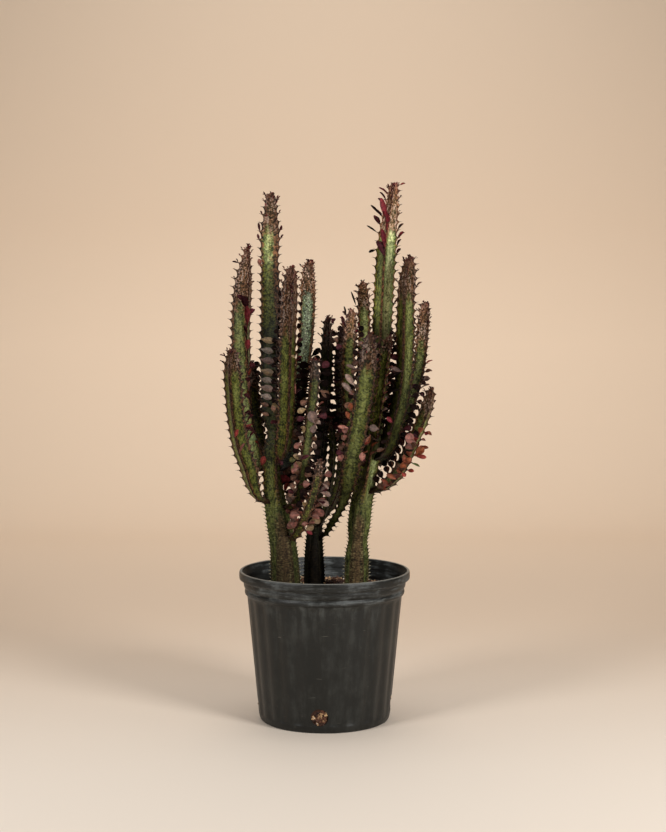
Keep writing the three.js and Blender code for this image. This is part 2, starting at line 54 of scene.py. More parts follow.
# ------------------------------------------------------------------------------------ nursery pot
# A black polyethylene growing pot, blow-moulded in one shot with its flutes, its two collar
# ridges and its rim, then trimmed and punched with four drain holes. It has been handled and
# watered, so dust lies on its ridges and dried splashes run down its flutes.
MM = 0.001
FLUTES = 24
FLUTE_DEPTH = 1.6
FLUTE_RUNOUT = 6.0
BODY_FOOT, BODY_TOP = 9.0, 191.0  # the heights between which the body is fluted
FLOOR_RADIUS = 60.0  # within it the floor is plain
WALL_SAG = 0.38  # how far the blown wall sags on the whole
LIP_FOOT, LIP_RUNOUT = 214.0, 12.0  # the wall is stiff and even from the lip up
POT_COLUMNS = FLUTES * 12
SHARP_ANGLE = 35
POT_OUTSIDE = [(96.5, 0), (98.6, 1.4), (100.8, 9), (101.4, 15), (117.8, 185), (118.4, 190.6),
               (120.6, 192.2), (122.0, 194.4), (121.9, 198.4), (120.6, 200.6), (121.2, 202.6),
               (123.2, 204.2), (123.5, 208.8), (122.9, 213.2), (124.6, 214.8), (129.3, 215.4),
               (129.8, 217.6), (129.9, 224.4), (129.2, 227.2), (127.6, 228)]
POT_INSIDE = [(125.6, 227.6), (125.0, 224), (121.4, 214), (121.6, 208), (119.2, 202.5),
              (120.0, 196.4), (116.6, 191.6), (116.0, 185), (99.6, 15), (99, 9), (96, 1.8)]
DRAIN_RADIUS, DRAIN_SIDES = 13.0, 48
DRAIN_HEIGHT, DRAIN_REACH = 24.5, 100  # its middle's height, and how far out its wall stands
DRAIN_TURNS = (-94, -4, 86, 176)


def linear(hex_colour):
    """An sRGB hex colour as linear red, green and blue, with a full alpha."""
    parts = [int(hex_colour[i:i + 2], 16) / 255 for i in (1, 3, 5)]
    return (*[p / 12.92 if p <= 0.04045 else ((p + 0.055) / 1.055) ** 2.4 for p in parts], 1.0)


def add_node(tree, kind, links=None, **settings):
    """Add a node with its settings, and set or link its inputs by name or number."""
    node = tree.nodes.new(kind)
    for name, value in settings.items():
        setattr(node, name, value)
    for key, value in (links or {}).items():
        socket = node.inputs[key] if isinstance(key, int) else next(
            s for s in node.inputs if s.enabled and s.name == key)
        if isinstance(value, bpy.types.Node):
            value = next(s for s in value.outputs if s.enabled)
        if isinstance(value, bpy.types.NodeSocket):
            tree.links.new(value, socket)
        else:
            socket.default_value = value
    return node


def new_material(name):
    """An empty material: its tree, ready for its nodes."""
    material = bpy.data.materials.new(name)
    material.use_nodes = True
    material.node_tree.nodes.clear()
    return material, material.node_tree


def new_piece(name, vertices, faces, material, sharp_angle=SHARP_ANGLE):
    """A mesh object from vertices in millimetres, with its material."""
    mesh = bpy.data.meshes.new(name)
    mesh.from_pydata((np.asarray(vertices) * MM).tolist(), [], faces)
    mesh.validate()
    mesh.materials.append(material)
    if faces:
        mesh.shade_smooth()
        mesh.set_sharp_from_angle(angle=math.radians(sharp_angle))
    piece = bpy.data.objects.new(name, mesh)
    bpy.context.scene.collection.objects.link(piece)
    return piece


def smooth(t):
    """Ease from 0 to 1."""
    t = np.clip(t, 0, 1)
    return t * t * (3 - 2 * t)


def softened(line, rounds=3, longest=4.0):
    """A polyline with its corners cut round and its long runs divided."""
    line = np.array(line, float)
    for _ in range(rounds):
        inner = np.empty((2 * len(line) - 2, 2))
        inner[0::2] = line[:-1] * 0.78 + line[1:] * 0.22
        inner[1::2] = line[:-1] * 0.22 + line[1:] * 0.78
        line = np.vstack([line[:1], inner, line[-1:]])
    dense = [line[0]]
    for a, b in zip(line[:-1], line[1:]):
        gap = np.linalg.norm(b - a)
        if gap < 0.12:
            continue
        parts = max(1, math.ceil(gap / longest))
        dense += [a + (b - a) * k / parts for k in range(1, parts + 1)]
    return np.array(dense)


def lathe(outline, columns, press):
    """Turn an outline of radii and heights about +Z; press moves each ring's columns inwards."""
    turn = np.arange(columns) * 2 * math.pi / columns
    rings = []
    for r, z in outline:
        reach = r - press(r, z, turn)
        rings.append(np.column_stack([reach * np.cos(turn), reach * np.sin(turn),
                                      np.full(columns, z)]))
    vertices = np.vstack(rings + [[[0, 0, outline[0][1]]], [[0, 0, outline[-1][1]]]])
    rows, low, high = len(outline), len(outline) * columns, len(outline) * columns + 1
    faces = []
    for i in range(rows - 1):
        for j in range(columns):
            k = (j + 1) % columns
            a, b = i * columns, (i + 1) * columns
            faces.append((a + j, a + k, b + k, b + j))
    for j in range(columns):
        k = (j + 1) % columns
        faces.append((low, k, j))
        faces.append((high, (rows - 1) * columns + j, (rows - 1) * columns + k))
    return vertices, faces


def flute_press(r, z, turn):
    """How far the mould presses the flutes in, with the slight waviness of a blown wall."""
    body = smooth((z - BODY_FOOT) / FLUTE_RUNOUT) * smooth((BODY_TOP - z) / FLUTE_RUNOUT)
    wall = 1.0 if r > FLOOR_RADIUS else 0.0
    body *= wall
    groove = (0.5 - 0.5 * np.cos(turn * FLUTES)) ** 1.25
    wave = 0.22 * np.sin(turn * 3 + z * 0.021) + 0.16 * np.sin(turn * 7 - z * 0.035 + 1.3)
    soft = smooth((LIP_FOOT - z) / LIP_RUNOUT)
    return FLUTE_DEPTH * groove * body + (wave + WALL_SAG) * soft * wall


# Blow-moulded polyethylene: a soft, waxy black with a dull shine. Dust greys the ridges and the
# upper body, dried splashes run down, and handling has left short pale scuffs.
plastic, t = new_material("polyethylene_blow_moulded_black")
place = add_node(t, "ShaderNodeTexCoord").outputs["Object"]
height = add_node(t, "ShaderNodeSeparateXYZ", {"Vector": place}).outputs["Z"]
runs = add_node(t, "ShaderNodeMapping", {"Vector": place, "Scale": (1, 1, 0.10)})
runs = add_node(t, "ShaderNodeTexNoise", {"Vector": runs, "Scale": 95.0, "Detail": 5.0,
                                          "Roughness": 0.62})
# Round the collar and inside it the mould has drawn streaks about 4 mm high.
rounds = add_node(t, "ShaderNodeMapping", {"Vector": place, "Scale": (0.12, 0.12, 1)})
rounds = add_node(t, "ShaderNodeTexNoise", {"Vector": rounds, "Scale": 240.0, "Detail": 4.0,
                                            "Roughness": 0.65})
above = add_node(t, "ShaderNodeMapRange", {"Value": height, "From Min": 0.188, "From Max": 0.194})
runs = add_node(t, "ShaderNodeMix", {"Factor": above, "A": runs, "B": rounds}, data_type="FLOAT")
patches = add_node(t, "ShaderNodeTexNoise", {"Vector": place, "Scale": 26.0, "Detail": 6.0,
                                             "Roughness": 0.7})
scuffs = add_node(t, "ShaderNodeMapping", {"Vector": place, "Rotation": (0, 0.6, 0),
                                           "Scale": (0.07, 0.3, 1)})
scuffs = add_node(t, "ShaderNodeTexNoise", {"Vector": scuffs, "Scale": 420.0, "Detail": 2.0})
scuffs = add_node(t, "ShaderNodeMapRange", {"Value": scuffs, "From Min": 0.70, "From Max": 0.80},
                  interpolation_type="SMOOTHSTEP")
collar = add_node(t, "ShaderNodeMapRange", {"Value": height, "From Min": 0.150, "From Max": 0.206},
                  interpolation_type="SMOOTHSTEP")
dust = add_node(t, "ShaderNodeMath", {0: patches, 1: runs}, operation="MULTIPLY")
dust = add_node(t, "ShaderNodeMapRange", {"Value": dust, "From Min": 0.20, "From Max": 0.42},
                interpolation_type="SMOOTHSTEP")
more = add_node(t, "ShaderNodeMapRange", {"Value": collar, "To Min": 0.26, "To Max": 1.0})
dust = add_node(t, "ShaderNodeMath", {0: dust, 1: more}, operation="MULTIPLY")
colour = add_node(t, "ShaderNodeMix", {"Factor": patches, "A": linear("#121311"),
                                       "B": linear("#1b1b18")}, data_type="RGBA")
grey = add_node(t, "ShaderNodeMix", {"Factor": above, "A": linear("#464743"),
                                     "B": linear("#585b5a")}, data_type="RGBA")
colour = add_node(t, "ShaderNodeMix", {"Factor": dust, "A": colour, "B": grey}, data_type="RGBA")
# Painted highlight: a thin pale line along the top edge of the lip, where the light glints on it.
lip_highlight = add_node(t, "ShaderNodeMapRange", {"Value": height, "From Min": 0.2266,
                                             "From Max": 0.2276, "To Max": 0.75})
colour = add_node(t, "ShaderNodeMix", {"Factor": lip_highlight, "A": colour, "B": linear("#7d7b74")},
                  data_type="RGBA")
scuffs = add_node(t, "ShaderNodeMath", {0: scuffs, 1: 0.35}, operation="MULTIPLY")
colour = add_node(t, "ShaderNodeMix", {"Factor": scuffs, "A": colour, "B": linear("#77736a")},
                  data_type="RGBA")
rough = add_node(t, "ShaderNodeMapRange", {"Value": dust, "To Min": 0.40, "To Max": 0.68})
relief = add_node(t, "ShaderNodeMath", {0: patches, 1: runs}, operation="ADD")
relief = add_node(t, "ShaderNodeBump", {"Height": relief, "Strength": 0.4, "Distance": 0.0012})
shader = add_node(t, "ShaderNodeBsdfPrincipled", {"Base Color": colour, "Roughness": rough,
                                                  "IOR": 1.5, "Specular IOR Level": 0.3,
                                                  "Normal": relief})
add_node(t, "ShaderNodeOutputMaterial", {"Surface": shader})

outline = np.vstack([softened(POT_OUTSIDE), softened(POT_INSIDE)])
vertices, faces = lathe(outline, POT_COLUMNS, flute_press)
shell = new_piece("pot_shell", vertices, faces, plastic)
punches = []
for turn in DRAIN_TURNS:
    rim = [(DRAIN_REACH * k, DRAIN_RADIUS * math.cos(a), DRAIN_RADIUS * math.sin(a) + DRAIN_HEIGHT)
           for k in (0.85, 1.15)
           for a in np.linspace(0, 2 * math.pi, DRAIN_SIDES, endpoint=False)]
    sides = [(j, (j + 1) % DRAIN_SIDES, DRAIN_SIDES + (j + 1) % DRAIN_SIDES, DRAIN_SIDES + j)
             for j in range(DRAIN_SIDES)]
    caps = [tuple(range(DRAIN_SIDES - 1, -1, -1)), tuple(range(DRAIN_SIDES, 2 * DRAIN_SIDES))]
    about = Matrix.Rotation(math.radians(turn), 3, "Z")
    punches.append(new_piece("punch", [tuple(about @ Vector(p)) for p in rim], sides + caps, plastic))
    cut = shell.modifiers.new("drain_hole", "BOOLEAN")
    cut.operation = "DIFFERENCE"
    cut.solver = "EXACT"
    cut.object = punches[-1]
view_layer = bpy.context.evaluated_depsgraph_get()
mesh = bpy.data.meshes.new_from_object(shell.evaluated_get(view_layer))
pot = bpy.data.objects.new("nursery_pot", mesh)
bpy.context.scene.collection.objects.link(pot)
for spare in [shell, *punches]:
    bpy.data.objects.remove(spare)
mesh.shade_smooth()
mesh.set_sharp_from_angle(angle=math.radians(SHARP_ANGLE))
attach(pot, "root")
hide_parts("pot")

# ------------------------------------------------------------------------------------ potting mix
# Composted bark with a little perlite, filled by hand to a few centimetres under the rim. It lies
# in lumps, heaped where it was pressed in behind the cuttings, and shows in the drain holes.
SOIL_TOP = 195.0
SOIL_MOUND = (16.0, 52.0, 7.0, 26.0)  # x, y, height, spread
SOIL_GAP = 1.2
LUMP_HEIGHT, LUMP_WIDTH = 3.4, 30
CLOD_HEIGHT, CLOD_WIDTH = 2.6, 9
CRUMB_HEIGHT, CRUMB_WIDTH = 1.3, 3.6
LOOSE_DEPTH, LOOSE_RADIUS = 12, 113  # loose mix lies this far down and this far out
DRAIN_SOIL, DRAIN_PATCH, DRAIN_CROWD = 99.5, 11, 2.2  # reach, radius, how much closer it lies
BARK_CHIP = (7.5, 4.0, 2.0)  # the usual chip's length, width and thickness
PERLITE_GRAIN = 1.5

# Composted softwood bark: dark red-brown outside, orange-tan where a chip is freshly broken.
bark, t = new_material("bark_composted_softwood")
place = add_node(t, "ShaderNodeTexCoord").outputs["Object"]
shade = add_node(t, "ShaderNodeAttribute", attribute_name="shade").outputs["Fac"]
grain = add_node(t, "ShaderNodeTexNoise", {"Vector": place, "Scale": 620.0, "Detail": 4.0,
                                           "Roughness": 0.7})
colour = add_node(t, "ShaderNodeMix", {"Factor": shade, "A": linear("#1e120d"),
                                       "B": linear("#6e4632")}, data_type="RGBA")
fresh = add_node(t, "ShaderNodeMapRange", {"Value": shade, "From Min": 0.80, "From Max": 0.93})
colour = add_node(t, "ShaderNodeMix", {"Factor": fresh, "A": colour, "B": linear("#b7946c")},
                  data_type="RGBA")
dark = add_node(t, "ShaderNodeMapRange", {"Value": grain, "From Min": 0.3, "From Max": 0.7,
                                          "To Min": 0.55, "To Max": 1.25})
colour = add_node(t, "ShaderNodeVectorMath", {0: colour, "Scale": dark}, operation="SCALE")
relief = add_node(t, "ShaderNodeBump", {"Height": grain, "Strength": 0.7, "Distance": 0.0009})
shader = add_node(t, "ShaderNodeBsdfPrincipled", {"Base Color": colour, "Roughness": 0.86,
                                                  "IOR": 1.4, "Normal": relief})
add_node(t, "ShaderNodeOutputMaterial", {"Surface": shader})

# Expanded perlite: chalk-white grains with a pitted, matt surface, a little stained.
perlite, t = new_material("perlite_expanded_white")
place = add_node(t, "ShaderNodeTexCoord").outputs["Object"]
pits = add_node(t, "ShaderNodeTexNoise", {"Vector": place, "Scale": 1400.0, "Detail": 2.0})
colour = add_node(t, "ShaderNodeMix", {"Factor": pits, "A": linear("#cbbfae"),
                                       "B": linear("#efe9df")}, data_type="RGBA")
relief = add_node(t, "ShaderNodeBump", {"Height": pits, "Strength": 0.5, "Distance": 0.0005})
shader = add_node(t, "ShaderNodeBsdfPrincipled", {"Base Color": colour, "Roughness": 0.9,
                                                  "Normal": relief})
add_node(t, "ShaderNodeOutputMaterial", {"Surface": shader})


def new_growth(name, inputs):
    """An empty Geometry Nodes tree with named inputs: the tree, its input node, its sockets."""
    tree = bpy.data.node_groups.new(name, "GeometryNodeTree")
    tree.interface.new_socket("Geometry", in_out="INPUT", socket_type="NodeSocketGeometry")
    tree.interface.new_socket("Geometry", in_out="OUTPUT", socket_type="NodeSocketGeometry")
    sockets = {label: tree.interface.new_socket(label, in_out="INPUT", socket_type=kind)
               for label, kind in inputs.items()}
    return tree, add_node(tree, "NodeGroupInput"), sockets


def grow(name, carrier, tree, sockets, values):
    """Run a tree on a carrier mesh with these values, and keep the result as a plain mesh."""
    growth = carrier.modifiers.new("growth", "NODES")
    growth.node_group = tree
    for label, value in values.items():
        growth[sockets[label].identifier] = value
    view_layer = bpy.context.evaluated_depsgraph_get()
    mesh = bpy.data.meshes.new_from_object(carrier.evaluated_get(view_layer))
    carrier.modifiers.remove(growth)
    piece = bpy.data.objects.new(name, mesh)
    bpy.context.scene.collection.objects.link(piece)
    return piece


wall_up = [(r - SOIL_GAP, z + 0.35) for r, z in POT_INSIDE[::-1] if z < SOIL_TOP - 3]
soil_outline = softened([(r, z) for r, z in [(88, 2.15)] + wall_up], 2)
soil_rings = [(115.4 - 2.1 * k, SOIL_TOP) for k in range(54)]
vertices, faces = lathe(np.vstack([soil_outline, soil_rings]), FLUTES * 8, flute_press)
for i, (x, y, z) in enumerate(vertices):
    if z < SOIL_TOP - 0.5:
        continue
    away = math.hypot(x - SOIL_MOUND[0], y - SOIL_MOUND[1]) / SOIL_MOUND[3]
    lumps = LUMP_HEIGHT * noise.noise(Vector((x, y, 0)) / LUMP_WIDTH)
    clods = CLOD_HEIGHT * noise.noise(Vector((x, y, 9)) / CLOD_WIDTH)
    crumbs = CRUMB_HEIGHT * noise.noise(Vector((x, y, 40)) / CRUMB_WIDTH)
    vertices[i][2] = SOIL_TOP + (lumps + clods) + crumbs + SOIL_MOUND[2] * math.exp(-away * away)
soil = new_piece("potting_mix", vertices, faces, bark, sharp_angle=60)
lying = soil.data.attributes.new("lying", "FLOAT", "POINT")
shown = []
for v in soil.data.vertices:
    x, y, z = v.co / MM
    top = 1.0 if z > SOIL_TOP - LOOSE_DEPTH and math.hypot(x, y) < LOOSE_RADIUS else 0.0
    drain = 0.0
    for turn in DRAIN_TURNS:
        a = math.radians(turn)
        hole = Vector((DRAIN_SOIL * math.cos(a), DRAIN_SOIL * math.sin(a), DRAIN_HEIGHT))
        if (Vector((x, y, z)) - hole).length < DRAIN_PATCH:
            drain = 1.0
    shown.append(top + DRAIN_CROWD * drain)
lying.data.foreach_set("value", shown)
base_shade = soil.data.attributes.new("shade", "FLOAT", "POINT")
base_shade.data.foreach_set("value", [0.25 + 0.3 * noise.noise(v.co * 300)
                                      for v in soil.data.vertices])

tree, given, sockets = new_growth("loose_mix", {
    "Chips per square metre": "NodeSocketFloat", "Chip size": "NodeSocketVector",
    "Grains per square metre": "NodeSocketFloat", "Grain radius": "NodeSocketFloat",
    "Bark": "NodeSocketMaterial", "Perlite": "NodeSocketMaterial", "Seed": "NodeSocketInt"})
spread = add_node(tree, "GeometryNodeInputNamedAttribute", {"Name": "lying"}, data_type="FLOAT")
amount = add_node(tree, "ShaderNodeMath", {0: spread, 1: given.outputs["Chips per square metre"]},
                  operation="MULTIPLY")
spots = add_node(tree, "GeometryNodeDistributePointsOnFaces", {
    "Mesh": given.outputs["Geometry"], "Density": amount, "Seed": given.outputs["Seed"]})
chip = add_node(tree, "GeometryNodeMeshCube", {"Size": given.outputs["Chip size"], "Vertices X": 3,
                                               "Vertices Y": 2, "Vertices Z": 2})
broken = add_node(tree, "FunctionNodeRandomValue", {
    "Min": (-0.0009, -0.0009, -0.0007), "Max": (0.0009, 0.0009, 0.0007), "Seed": 3},
    data_type="FLOAT_VECTOR")
chip = add_node(tree, "GeometryNodeSetPosition", {"Geometry": chip, "Offset": broken})
turned = add_node(tree, "FunctionNodeRandomValue", {
    "Min": (-0.6, -0.6, -3.14), "Max": (0.6, 0.6, 3.14), "Seed": 5}, data_type="FLOAT_VECTOR")
sized = add_node(tree, "FunctionNodeRandomValue", {
    "Min": (0.35, 0.5, 0.6), "Max": (1.1, 1.2, 1.5), "Seed": 7}, data_type="FLOAT_VECTOR")
facing = add_node(tree, "FunctionNodeRotateRotation", {
    "Rotation": spots.outputs["Rotation"], "Rotate By": turned}, rotation_space="LOCAL")
chips = add_node(tree, "GeometryNodeInstanceOnPoints", {
    "Points": spots, "Instance": chip, "Rotation": facing, "Scale": sized})
shades = add_node(tree, "FunctionNodeRandomValue", {"Seed": 11}, data_type="FLOAT")
chips = add_node(tree, "GeometryNodeStoreNamedAttribute", {
    "Geometry": chips, "Name": "shade", "Value": shades}, data_type="FLOAT", domain="INSTANCE")
chips = add_node(tree, "GeometryNodeSetMaterial", {
    "Geometry": add_node(tree, "GeometryNodeRealizeInstances", {"Geometry": chips}),
    "Material": given.outputs["Bark"]})
amount = add_node(tree, "ShaderNodeMath", {0: spread, 1: given.outputs["Grains per square metre"]},
                  operation="MULTIPLY")
spots = add_node(tree, "GeometryNodeDistributePointsOnFaces", {
    "Mesh": given.outputs["Geometry"], "Density": amount, "Seed": given.outputs["Seed"]})
grain = add_node(tree, "GeometryNodeMeshIcoSphere", {"Radius": given.outputs["Grain radius"],
                                                     "Subdivisions": 1})
sized = add_node(tree, "FunctionNodeRandomValue", {
    "Min": (0.5, 0.5, 0.5), "Max": (1.5, 1.2, 1.2), "Seed": 13}, data_type="FLOAT_VECTOR")
grains = add_node(tree, "GeometryNodeInstanceOnPoints", {
    "Points": spots, "Instance": grain, "Rotation": spots.outputs["Rotation"], "Scale": sized})
grains = add_node(tree, "GeometryNodeSetMaterial", {
    "Geometry": add_node(tree, "GeometryNodeRealizeInstances", {"Geometry": grains}),
    "Material": given.outputs["Perlite"]})
both = add_node(tree, "GeometryNodeJoinGeometry")
tree.links.new(chips.outputs[0], both.inputs[0])
tree.links.new(grains.outputs[0], both.inputs[0])
add_node(tree, "NodeGroupOutput", {"Geometry": both})
chips = grow("bark_and_perlite", soil, tree, sockets, {
    "Chips per square metre": 42000.0, "Chip size": [s * MM for s in BARK_CHIP],
    "Grains per square metre": 3500.0, "Grain radius": PERLITE_GRAIN * MM,
    "Bark": bark, "Perlite": perlite, "Seed": 4})
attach(soil, "root")
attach(chips, "root")
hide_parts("soil")

# ------------------------------------------------------------------------------------ stems
# Three rooted cuttings and sixteen arms of a three-winged succulent spurge. A thin waxy skin over
# water-filled pith; each wing ends in a hard, toothed margin. The oldest skin has corked over, the
# youngest is purple-brown, and a pale feathered band runs up the middle of each face.
ROOT_DEPTH = 70.0
ROOT_SHARE = 0.72  # a buried trunk's radius, as a share of its foot's
ROOT_RUN = 8.0  # how far under the mix a trunk narrows to its root
TOOTH_PITCH, TRUNK_PITCH = 12.5, 10.5
TOOTH_OUT, TIP_TOOTH_OUT, NOTCH_IN = 2.6, 4.4, 1.7
TOOTH_BACK = 0.30  # the share of the pitch in which a margin falls behind a tooth
OLD_TEETH = 0.15  # how corky a trunk is where small teeth show between the others
OLD_NOTCH_IN = 0.2
WORN_CORK = 0.15  # how corky a trunk is where its front wing begins to look worn
VALLEY_SHARE, CORK_VALLEY_SHARE, ROOT_VALLEY_SHARE = 0.42, 0.68, 0.86
NECK_RADIUS, NECK_RUN, BARE_NECK, WAIST_SPREAD = 4.6, 48.0, 16.0, 15.0
CROWDED_RUN, CROWDED_SHARE, HEAD_RUN = 50.0, 0.62, 30.0
RING_STEP, TIP_POINT = 1.5, 2.2  # between rings, and from the last ring to the very tip
WING_HALF_EDGE = 1.15  # half the thickness of a wing's margin
WING_STATIONS = (0.14, 0.32, 0.52, 0.74)  # shares of the way from a margin to its valley
AXIS_SAMPLES = 601
